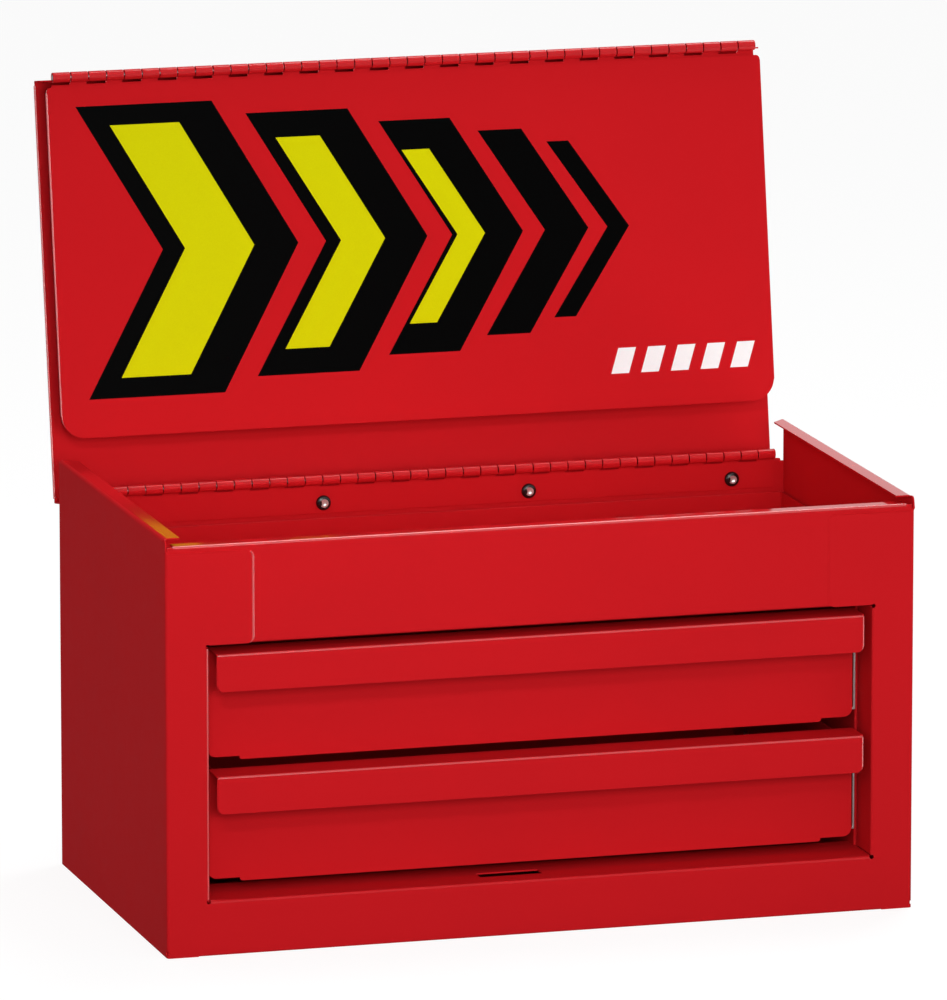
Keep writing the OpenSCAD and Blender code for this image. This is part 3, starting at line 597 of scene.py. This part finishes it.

# Bare drawn wire for the hinge pins, with a bright glint along its top and fine lines from the die.
# Its colour is made much darker than bare steel as painted shade, so the gaps between the knuckles read dark.
WIRE_LINE = 0.2 * MM
pin_wire_darkened_as_gap_shade, tree = start_material("bare_steel_wire_darkened_as_gap_shade")
place = add(tree, "ShaderNodeTexCoord").outputs["Object"]
along = add(tree, "ShaderNodeMapping", {"Scale": (0.02, 1.0, 1.0)}, {"Vector": place})
die = add(tree, "ShaderNodeTexNoise", {"Scale": 1 / WIRE_LINE, "Detail": 2.0},
          {"Vector": along.outputs["Vector"]})
# The dark colour of the pin is painted shade for the gaps between the knuckles.
gap_shade_grey = add(tree, "ShaderNodeMix", {"A": linear("3E3F42"), "B": linear("5C5D60")},
           {"Factor": die.outputs["Fac"]}, data_type="RGBA")
drawn = add(tree, "ShaderNodeMapRange", {"To Min": 0.12, "To Max": 0.22}, {"Value": die.outputs["Fac"]})
wire = add(tree, "ShaderNodeBsdfPrincipled", {"Metallic": 1.0},
           {"Base Color": gap_shade_grey.outputs["Result"], "Roughness": drawn.outputs["Result"]})
add(tree, "ShaderNodeOutputMaterial", {}, {"Surface": wire.outputs["BSDF"]})
keep(["rear_hinge_pin"], "zinc_plate", pin_wire_darkened_as_gap_shade)

# ------------------------------------------------------------------ lid
# A sheet with a deep flange at its front, a flange with an open hem at its back and both
# side edges folded over flat, coated with the box. It is described shut, then swung open.

LID_RISE = 30.5 * MM
LID_BEND = 1.1 * MM
LID_OVERHANG = 2.6 * MM
LID_FLANGE_GAP = 0.8 * MM
LID_FLANGE_CUT = 6.0 * MM
LID_REAR_GAP = 6.5 * MM
LID_REAR_BEND = 1.1 * MM
LID_HALF = 262.3 * MM
LID_HEM = 9.0 * MM
HEM_STEP = 1.05 * MM
HEM_BEND = 0.5 * MM
HEM_END = 3.0 * MM

lid_mid = REAR_AXIS.z + LID_RISE + HALF_SHEET
lid_front = FRONT - LID_OVERHANG + HALF_SHEET
lid_back = BACK + LID_OVERHANG - HALF_SHEET
lid_inner_back = REAR_AXIS.y + KNUCKLE_RADIUS + HALF_SHEET
lid_front_low = shut_front_axis.z + KNUCKLE_RADIUS + LID_FLANGE_GAP
lid_rear_low = REAR_AXIS.z + LID_REAR_GAP + HALF_SHEET


def hem(test, step, back):
    """Folds the chosen edges over flat on the sheet."""
    fold(test, step)
    bpy.ops.mesh.extrude_edges_move(TRANSFORM_OT_translate={"value": back})


lid = begin("hemmed_lid_panel", (0, (lid_front + lid_back) / 2, lid_mid),
            (2 * LID_HALF, lid_back - lid_front))
fold(lambda m: near(m.y, lid_front), (0, 0, lid_front_low - lid_mid))
fold(lambda m: near(m.y, lid_back), (0, 0, lid_rear_low - lid_mid))
hem(lambda m: near(m.z, lid_rear_low) and near(m.y, lid_back),
    (0, lid_inner_back - lid_back, 0), (0, 0, LID_HEM))
trim(lambda p: near(p.z, lid_front_low), LID_FLANGE_CUT, 1)
bend(lambda m: near(m.z, lid_mid) and (near(m.y, lid_front) or near(m.y, lid_back)), LID_BEND)
bend(lambda m: near(m.z, lid_rear_low) and (near(m.y, lid_back) or near(m.y, lid_inner_back)),
     LID_REAR_BEND)
score((0, 1, 0), lid_front + HEM_END, lid_back - HEM_END)
for side in (-1, 1):
    hem(lambda m: near(m.x, side * LID_HALF) and near(m.z, lid_mid)
        and lid_front + HEM_END < m.y < lid_back - HEM_END,
        (0, 0, HEM_STEP), (-side * LID_HEM, 0, 0))
bend(lambda m: near(abs(m.x), LID_HALF) and near(m.y, (lid_front + lid_back) / 2)
     and (near(m.z, lid_mid) or near(m.z, lid_mid + HEM_STEP)), HEM_BEND, 3)
thicken(lid)
dress(lid, glossy=lambda n, c: n.x < -0.1 and c.x < -LID_HALF + SHEET)
lid.data.transform(opened)
fit(lid, "lid", ["lid_panel"], "red_powder_coat", red_coat, red_rims)

# ------------------------------------------------------------------ front hinge
# A second piano hinge, rolled from the same strip and coated with the box. It is fixed
# along the lid's front flange and carries the cover.

FRONT_LID_LEAF = 24.2 * MM
COVER_LEAF = 28.0 * MM

front_lid_leaf = roll_leaf("rolled_front_hinge_lid_leaf", FRONT_LID_LEAF)
front_lid_leaf.data.transform(opened @ Matrix.Translation(shut_front_axis) @ upright)
fit(front_lid_leaf, "lid", ["front_hinge_lid_leaf"], "red_powder_coat", red_coat, red_tops)

cover_leaf = roll_leaf("rolled_front_hinge_cover_leaf", COVER_LEAF)
cover_leaf.data.transform(opened @ Matrix.Translation(shut_front_axis))
fit(cover_leaf, "cover", ["front_hinge_cover_leaf"], "red_powder_coat", red_coat, red_tops)
keep(["front_hinge_pin"], "zinc_plate", pin_wire_darkened_as_gap_shade)

# ------------------------------------------------------------------ handle
# A bent 7 mm rod in two cast ears that are riveted to the lid, with a moulded rubber
# grip. It hangs behind the open lid, and lies flat on it when the box is shut.

ROD_RADIUS = 3.5 * MM
PIVOT_END = 87.0 * MM
ARM = 67.0 * MM
ARM_BEND = 5.0 * MM
GRIP_BEND = 9.0 * MM
REACH = 40.0 * MM
GRIP_HALF = 58.0 * MM
GRIP_RADIUS = 8.5 * MM
GRIP_RIBS = 14
RIB_DEPTH = 0.9 * MM
RIB_WIDTH = 1.6 * MM
ROD_EDGE = 0.6 * MM
GRIP_EDGE = 0.5 * MM
EAR_EDGE = 0.8 * MM

bpy.ops.object.select_all(action="DESELECT")
bpy.ops.mesh.primitive_circle_add(
    vertices=24, radius=ROD_RADIUS, location=HANDLE_AXIS + Vector((-PIVOT_END, 0, 0)),
    rotation=(0, math.pi / 2, 0))
bail = bpy.context.object
bail.name = bail.data.name = "bent_handle_bail"
bpy.ops.object.transform_apply(location=True, rotation=True, scale=True)
bpy.ops.object.mode_set(mode="EDIT")


def run(move):
    """Draws the rod on in a straight length."""
    bpy.ops.mesh.extrude_edges_move(TRANSFORM_OT_translate={"value": move})


def turn_rod(centre, angle):
    """Bends the rod round a centre, in the handle's own plane."""
    bpy.ops.mesh.spin(steps=8, angle=math.radians(angle), center=HANDLE_AXIS + Vector(centre),
                      axis=(0, -1, 0))


bpy.ops.mesh.select_all(action="SELECT")
run((PIVOT_END - ARM - ARM_BEND, 0, 0))
turn_rod((-ARM - ARM_BEND, 0, -ARM_BEND), 90)
run((0, 0, -(REACH - ARM_BEND - GRIP_BEND)))
turn_rod((-ARM + GRIP_BEND, 0, -REACH + GRIP_BEND), -90)
run((2 * (ARM - GRIP_BEND), 0, 0))
turn_rod((ARM - GRIP_BEND, 0, -REACH + GRIP_BEND), -90)
run((0, 0, REACH - ARM_BEND - GRIP_BEND))
turn_rod((ARM + ARM_BEND, 0, -ARM_BEND), 90)
run((PIVOT_END - ARM - ARM_BEND, 0, 0))
bpy.ops.mesh.select_all(action="SELECT")
bpy.ops.mesh.remove_doubles(threshold=0.01 * MM)
for side in (-1, 1):
    pick("EDGE", lambda m: near(m.x, side * PIVOT_END))
    bpy.ops.mesh.edge_face_add()
bpy.ops.mesh.select_all(action="SELECT")
bpy.ops.mesh.normals_make_consistent(inside=False)
bpy.ops.object.mode_set(mode="OBJECT")
dress(bail, ROD_EDGE)
fit(bail, "handle", ["handle_bail"], "black_steel", black_oxide)

# Carbon-filled rubber, moulded: black and matt, with the fine grain of the mould.
RUBBER_GRAIN = 0.7 * MM
rubber, tree = start_material("moulded_rubber")
place = add(tree, "ShaderNodeTexCoord").outputs["Object"]
grain = add(tree, "ShaderNodeTexNoise", {"Scale": 1 / RUBBER_GRAIN, "Detail": 3.0}, {"Vector": place})
shade = add(tree, "ShaderNodeMix", {"A": linear("121212"), "B": linear("1E1E1F")},
            {"Factor": grain.outputs["Fac"]}, data_type="RGBA")
matt = add(tree, "ShaderNodeMapRange", {"To Min": 0.55, "To Max": 0.75}, {"Value": grain.outputs["Fac"]})
mould = add(tree, "ShaderNodeBump", {"Strength": 0.3, "Distance": 0.1 * MM}, {"Height": grain.outputs["Fac"]})
grip_skin = add(tree, "ShaderNodeBsdfPrincipled", {"Specular IOR Level": 0.4},
                {"Base Color": shade.outputs["Result"], "Roughness": matt.outputs["Result"],
                 "Normal": mould.outputs["Normal"]})
add(tree, "ShaderNodeOutputMaterial", {}, {"Surface": grip_skin.outputs["BSDF"]})

grip_middle = HANDLE_AXIS + Vector((0, 0, -REACH))
grip = peg(grip_middle, GRIP_RADIUS, 2 * GRIP_HALF, axis="X", sides=40)
grip.name = grip.data.name = "ribbed_handle_grip"
bpy.ops.object.mode_set(mode="EDIT")
rib_places = [(i - (GRIP_RIBS - 1) / 2) * 2 * GRIP_HALF / (GRIP_RIBS + 1) for i in range(GRIP_RIBS)]
score((1, 0, 0), *[p + d for p in rib_places for d in (-RIB_WIDTH / 2, 0, RIB_WIDTH / 2)])
slim = (GRIP_RADIUS - RIB_DEPTH) / GRIP_RADIUS
pick("VERT", lambda p: min(abs(p.x - r) for r in rib_places) < 0.05 * MM)
bpy.ops.transform.resize(value=(1, slim, slim), center_override=grip_middle)
bpy.ops.object.mode_set(mode="OBJECT")
dress(grip, GRIP_EDGE)
fit(grip, "handle", ["handle_grip"], "black_grip", rubber)

keep(["left_handle_bracket", "right_handle_bracket"], "black_steel", black_oxide, edge=EAR_EDGE)
keep(["handle_rivets"], "zinc_plate", zinc_plate)

# ------------------------------------------------------------------ front cover
# A flat sheet with two large round corners and its free edges folded over flat. It
# hangs in front of the open lid, and closes the drawers in when the box is shut.

COVER_HALF = 260.1 * MM
COVER_HEIGHT = 244.4 * MM
COVER_CORNER = 16.0 * MM
COVER_HINGE_CORNER = 3.0 * MM
COVER_HEM = 4.0 * MM
COVER_START = 7.0 * MM

cover_top = shut_front_axis.y + COVER_START
cover_face = shut_front_axis.z + KNUCKLE_RADIUS - 2 * SHEET
cover_mid = cover_face + HALF_SHEET
cover_end = cover_top + COVER_HEIGHT
cover = begin("hemmed_cover_panel", (0, cover_top + COVER_HEIGHT / 2, cover_mid),
              (2 * COVER_HALF, COVER_HEIGHT))
score((0, 1, 0), cover_top + COVER_HEM)
trim(lambda p: near(p.y, cover_end), COVER_CORNER, 10)
trim(lambda p: near(p.y, cover_top), COVER_HINGE_CORNER)
for side in (-1, 1):
    hem(lambda m: near(m.x, side * COVER_HALF) and near(m.z, cover_mid) and m.y > cover_top + COVER_HEM,
        (0, 0, HEM_STEP), (-side * COVER_HEM, 0, 0))
hem(lambda m: near(m.y, cover_end) and near(m.z, cover_mid), (0, 0, HEM_STEP), (0, -COVER_HEM, 0))
bend(lambda m: near(m.z, cover_mid, HEM_STEP + 0.05 * MM)
     and (near(abs(m.x), COVER_HALF) and cover_top + COVER_HEM < m.y < cover_end - COVER_CORNER
          and near(m.y, (cover_top + COVER_HEM + cover_end - COVER_CORNER) / 2)
          or near(m.y, cover_end) and near(m.x, 0)), HEM_BEND, 3)
thicken(cover)
dress(cover, glossy=lambda n, c: n.x < -0.1 and c.x < 0)
cover.data.transform(opened)
fit(cover, "cover", ["cover_panel"], "red_powder_coat", red_coat, red_rims)

# Screen-printed enamel ink on the cover: three flat colours, each a thin glossy layer
# with a trace of the mesh in its surface.
INK = 0.08 * MM
SCREEN_MESH = 0.8 * MM


def make_ink(name, dark, light):
    material, tree = start_material(name)
    place = add(tree, "ShaderNodeTexCoord").outputs["Object"]
    mesh = add(tree, "ShaderNodeTexNoise", {"Scale": 1 / SCREEN_MESH, "Detail": 1.0}, {"Vector": place})
    colour = add(tree, "ShaderNodeMix", {"A": linear(dark), "B": linear(light)},
                 {"Factor": mesh.outputs["Fac"]}, data_type="RGBA")
    gloss = add(tree, "ShaderNodeMapRange", {"To Min": 0.30, "To Max": 0.38}, {"Value": mesh.outputs["Fac"]})
    layer = add(tree, "ShaderNodeBsdfPrincipled", {"Specular IOR Level": 0.006},
                {"Base Color": colour.outputs["Result"], "Roughness": gloss.outputs["Result"]})
    add(tree, "ShaderNodeOutputMaterial", {}, {"Surface": layer.outputs["BSDF"]})
    return material


black_ink = make_ink("black_screen_ink", "030303", "060606")
yellow_ink = make_ink("yellow_screen_ink", "CDCC04", "D6D508")
white_ink = make_ink("white_screen_ink", "F0F0F0", "F6F6F6")


def chevron(left, middle, width, height, reach, layer):
    """A stripe across the cover that is bent to a point at half its height."""
    piece = begin("chevron", (left + width / 2, middle, cover_face - layer), (width, height))
    score((0, 1, 0), middle)
    shift(lambda p: near(p.y, middle), (reach, 0, 0))
    thicken(piece, INK)
    return piece


def slant(left, middle, width, height, lean, layer):
    """A leaning bar across the cover."""
    piece = begin("slant", (left + width / 2, middle, cover_face - layer), (width, height))
    shift(lambda p: p.y < middle, (lean, 0, 0))
    thicken(piece, INK)
    return piece


def print_ink(name, shapes, ink):
    """Makes one printed layer of its shapes."""
    bpy.ops.object.select_all(action="DESELECT")
    for shape in shapes:
        shape.select_set(True)
    bpy.context.view_layer.objects.active = shapes[0]
    bpy.ops.object.join()
    layer = bpy.context.object
    layer.name = layer.data.name = name
    layer.data.transform(opened)
    fit(layer, "cover", [], "red_powder_coat", ink)


# Five bent stripes that get narrower and shorter to the right, yellow bars inside the
# widest three, and short white dashes in the lower right corner. Each stripe is its left
# edge, width, height and the reach of its point, in millimetres.
PRINT_DROP = 116.0 * MM
BLACK_STRIPES = ((-240, 98, 204, 58), (-118, 74, 184, 54), (-22, 52, 164, 50), (50, 32, 144, 46),
                 (100, 16, 124, 42))
YELLOW_BARS = ((-216, 50, 176, 50), (-97, 32, 148, 44), (-6, 20, 122, 38))
DASHES = 5
DASH_START = 140
DASH_STEP = 22
DASH_DROP = 211.0 * MM
DASH_WIDTH = 13.0 * MM
DASH_HEIGHT = 18.0 * MM
DASH_LEAN = 6.0 * MM

print_middle = cover_top + PRINT_DROP
for name, stripes, layer, ink in (("black_print", BLACK_STRIPES, INK, black_ink),
                                  ("yellow_print", YELLOW_BARS, 2 * INK, yellow_ink)):
    print_ink(name, [chevron(left * MM, print_middle, width * MM, height * MM, reach * MM, layer)
                     for left, width, height, reach in stripes], ink)
print_ink("white_print", [
    slant((DASH_START + DASH_STEP * i) * MM, cover_top + DASH_DROP, DASH_WIDTH, DASH_HEIGHT, DASH_LEAN, INK)
    for i in range(DASHES)], white_ink)

# ------------------------------------------------------------------ drawer bodies
# Open boxes folded from 1 mm sheet and coated. The drawer members of the slides are
# screwed to their sides.

keep(["upper_drawer_body", "lower_drawer_body"], "red_powder_coat", red_coat)

# ------------------------------------------------------------------ drawer fronts
# One sheet makes the recessed face, the flat ledge above it, the lip that the fingers
# hook behind, and short returns down both sides. It is spot welded to the drawer body.

FACE_HEIGHT = 79.0 * MM
FACE_STEP = 2.4 * MM
FACE_STEP_CORNER = FACE_STEP * 0.8
FACE_STEP_INNER = 207.0 * MM
FACE_CORNER = 6.0 * MM
FACE_RETURN = 7.0 * MM
RETURN_TOP_GAP = 1.6 * MM
LEDGE_DEPTH = 26.0 * MM
LIP_HEIGHT = 26.0 * MM
LIP_CORNER = 4.5 * MM
LIP_TOP_CORNER = 2.0 * MM
LIP_CORNER_CUBE = 12.0 * MM
LIP_EDGE_SLOPE = 1.2 * MM
FACE_BEND = 1.0 * MM


def make_drawer_front(level):
    low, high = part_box(f"{level}_drawer_front")
    ledge = high.z - HALF_SHEET
    lip_y = low.y + HALF_SHEET
    face_y = lip_y + LEDGE_DEPTH
    half = high.x - HALF_SHEET
    bottom = high.z - FACE_HEIGHT
    step = bottom + FACE_STEP
    piece = begin(f"folded_{level}_drawer_front", (0, face_y, (bottom + ledge) / 2),
                  (2 * half, ledge - bottom), (90, 0, 0))
    score((1, 0, 0), -FACE_STEP_INNER, FACE_STEP_INNER)
    return_low = step + FACE_CORNER + RETURN_TOP_GAP
    score((0, 0, 1), step, return_low, ledge - RETURN_TOP_GAP)
    drop(lambda m: abs(m.x) > FACE_STEP_INNER and m.z < step)

    def on_return(m):
        return near(abs(m.x), half) and return_low < m.z < ledge - RETURN_TOP_GAP

    fold(on_return, (0, FACE_RETURN - HALF_SHEET, 0))
    fold(lambda m: near(m.z, ledge), (0, -LEDGE_DEPTH, 0))
    fold(lambda m: near(m.z, ledge) and near(m.y, lip_y), (0, 0, -(LIP_HEIGHT - HALF_SHEET)))
    trim(lambda p: near(abs(p.x), half) and near(p.z, step), FACE_CORNER)
    trim(lambda p: near(abs(p.x), half) and near(p.y, lip_y) and p.z < ledge - FACE_BEND, LIP_CORNER)
    trim(lambda p: near(abs(p.x), FACE_STEP_INNER) and near(p.z, bottom), FACE_STEP_CORNER)
    bend(lambda m: on_return(m) and near(m.y, face_y), FACE_BEND)
    bend(lambda m: near(m.z, ledge) and (near(m.y, lip_y) or near(m.y, face_y)), FACE_BEND)
    thicken(piece)
    bpy.ops.object.mode_set(mode="EDIT")
    front = lip_y - HALF_SHEET
    lip_low = ledge - LIP_HEIGHT + HALF_SHEET
    shrink = 1 - LIP_EDGE_SLOPE / LIP_CORNER
    for side in (-1, 1):
        pick("VERT", lambda p: near(p.y, front) and p.z < lip_low + LIP_CORNER + 0.1 * MM
             and side * p.x > half - LIP_CORNER - 0.1 * MM)
        bpy.ops.transform.resize(value=(shrink, 1, 1), center_override=(
            side * (half - LIP_CORNER), front, lip_low + LIP_CORNER))
        shift(lambda p: near(p.y, front) and p.z > lip_low + LIP_CORNER + 0.1 * MM
              and side * p.x > half - SHEET, (-side * LIP_EDGE_SLOPE, 0, 0))
    bpy.ops.object.mode_set(mode="OBJECT")
    off = (LIP_CORNER_CUBE / 2 - LIP_TOP_CORNER / 2 ** 0.5) / 2 ** 0.5
    for side in (-1, 1):
        bpy.ops.object.select_all(action="DESELECT")
        bpy.ops.mesh.primitive_cube_add(
            size=1, location=(side * (high.x + off), lip_y, high.z + off),
            rotation=(0, math.radians(45), 0))
        corner_cut = bpy.context.object
        corner_cut.scale = (LIP_CORNER_CUBE, 3 * SHEET, LIP_CORNER_CUBE)
        bpy.context.view_layer.update()
        punch(piece, corner_cut)
    dress(piece, glossy=lambda n, c: n.x > 0.1 and n.y < 0.3,
          mirror=lambda n, c: 0.1 < n.z < 0.95 and n.y < -0.1 and c.y < face_y - SHEET)
    fit(piece, f"{level}_drawer", [f"{level}_drawer_front"], "red_powder_coat", red_coat, red_rims)


make_drawer_front("upper")
make_drawer_front("lower")

# ------------------------------------------------------------------ studio
# A pale floor, a large low soft box ahead, small ones above and on the left, a gridded one
# into the compartment, a low reflector on the right for the edges, and a long lens.

CAMERA_AZIMUTH = -16.30
CAMERA_ELEVATION = 11.49
CAMERA_DISTANCE = 7.6369
CAMERA_TARGET = Vector((-0.00859, -0.005, 0.27475))
CAMERA_LENS = 398.9
SENSOR_WIDTH = 36.0
FAR_CLIP = 200.0
FLOOR_SIZE = 60.0
FLOOR_GLOW = 0.86
FLOOR_SHADE = (0.2, 0.2, 0.2, 1.0)
FLOOR_BOUNCE = (0.15, 0.15, 0.15, 1.0)
ROOM_LIGHT = 0.46
WHITE = (1.0, 1.0, 1.0, 1.0)

bpy.ops.object.camera_add()
camera = bpy.context.object
camera.name = "camera"
camera.data.lens = CAMERA_LENS
camera.data.sensor_width = SENSOR_WIDTH
camera.data.clip_end = FAR_CLIP
azimuth = math.radians(CAMERA_AZIMUTH)
elevation = math.radians(CAMERA_ELEVATION)
away = Vector((math.sin(azimuth) * math.cos(elevation), -math.cos(azimuth) * math.cos(elevation),
               math.sin(elevation)))
camera.location = CAMERA_TARGET + away * CAMERA_DISTANCE
camera.rotation_euler = (-away).to_track_quat("-Z", "Y").to_euler()
bpy.context.scene.camera = camera
bpy.context.scene.view_settings.view_transform = "Standard"


def seen(tree):
    """Is 1 for what the camera, a reflection or a transmitted ray sees, and 0 for light."""
    path = add(tree, "ShaderNodeLightPath")
    first = add(tree, "ShaderNodeMath", {}, {0: path.outputs["Is Camera Ray"],
                                             1: path.outputs["Is Glossy Ray"]}, operation="MAXIMUM")
    both = add(tree, "ShaderNodeMath", {}, {0: first.outputs[0], 1: path.outputs["Is Transmission Ray"]},
               operation="MAXIMUM")
    return both.outputs[0]


bpy.ops.object.select_all(action="DESELECT")
bpy.ops.mesh.primitive_plane_add(size=FLOOR_SIZE)
floor = bpy.context.object
floor.name = "studio_floor"
paper, tree = start_material("white_paper_sweep")
glow = add(tree, "ShaderNodeEmission", {"Color": WHITE, "Strength": FLOOR_GLOW})
matte = add(tree, "ShaderNodeBsdfDiffuse", {"Color": FLOOR_SHADE})
shown = add(tree, "ShaderNodeAddShader", {}, {0: glow.outputs[0], 1: matte.outputs[0]})
bounce = add(tree, "ShaderNodeBsdfDiffuse", {"Color": FLOOR_BOUNCE})
mixed = add(tree, "ShaderNodeMixShader", {}, {"Fac": seen(tree), 1: bounce.outputs[0], 2: shown.outputs[0]})
add(tree, "ShaderNodeOutputMaterial", {}, {"Surface": mixed.outputs[0]})
floor.data.materials.append(paper)

world = bpy.data.worlds.new("studio_room")
world.use_nodes = True
bpy.context.scene.world = world
tree = world.node_tree
tree.nodes.clear()
room = add(tree, "ShaderNodeBackground", {"Color": WHITE, "Strength": ROOM_LIGHT})
white = add(tree, "ShaderNodeBackground", {"Color": WHITE, "Strength": 1.0})
both = add(tree, "ShaderNodeMixShader", {}, {"Fac": seen(tree), 1: room.outputs[0], 2: white.outputs[0]})
add(tree, "ShaderNodeOutputWorld", {}, {"Surface": both.outputs[0]})


def soft_box(name, position, target, width, height, power, spread=180):
    """A rectangular lamp that faces the target, narrowed by a grid, and isn't seen itself."""
    bpy.ops.object.light_add(type="AREA", location=position)
    lamp = bpy.context.object
    lamp.name = name
    lamp.visible_camera = False
    lamp.data.shape = "RECTANGLE"
    lamp.data.size = width
    lamp.data.size_y = height
    lamp.data.energy = power
    lamp.data.spread = math.radians(spread)
    lamp.rotation_euler = (Vector(target) - Vector(position)).to_track_quat("-Z", "Y").to_euler()


soft_box("key_soft_box", (-0.35, -3.2, 0.9), (0, 0, 0.27), 1.6, 1.1, 62)
soft_box("top_soft_box", (0.55, 0.5, 2.1), (0, 0, 0.3), 0.6, 1.1, 18)
soft_box("compartment_grid_box", (-0.8, -1.8, 1.3), (-0.02, 0.12, 0.22), 0.3, 0.2, 0.18, 24)
soft_box("left_soft_box", (-2.0, 0.0, 0.42), (0, 0, 0.42), 0.8, 0.35, 3.4)
soft_box("low_right_reflector", (0.9, -0.1, 0.006), (0.9, -0.1, 1.0), 0.8, 1.1, 7)
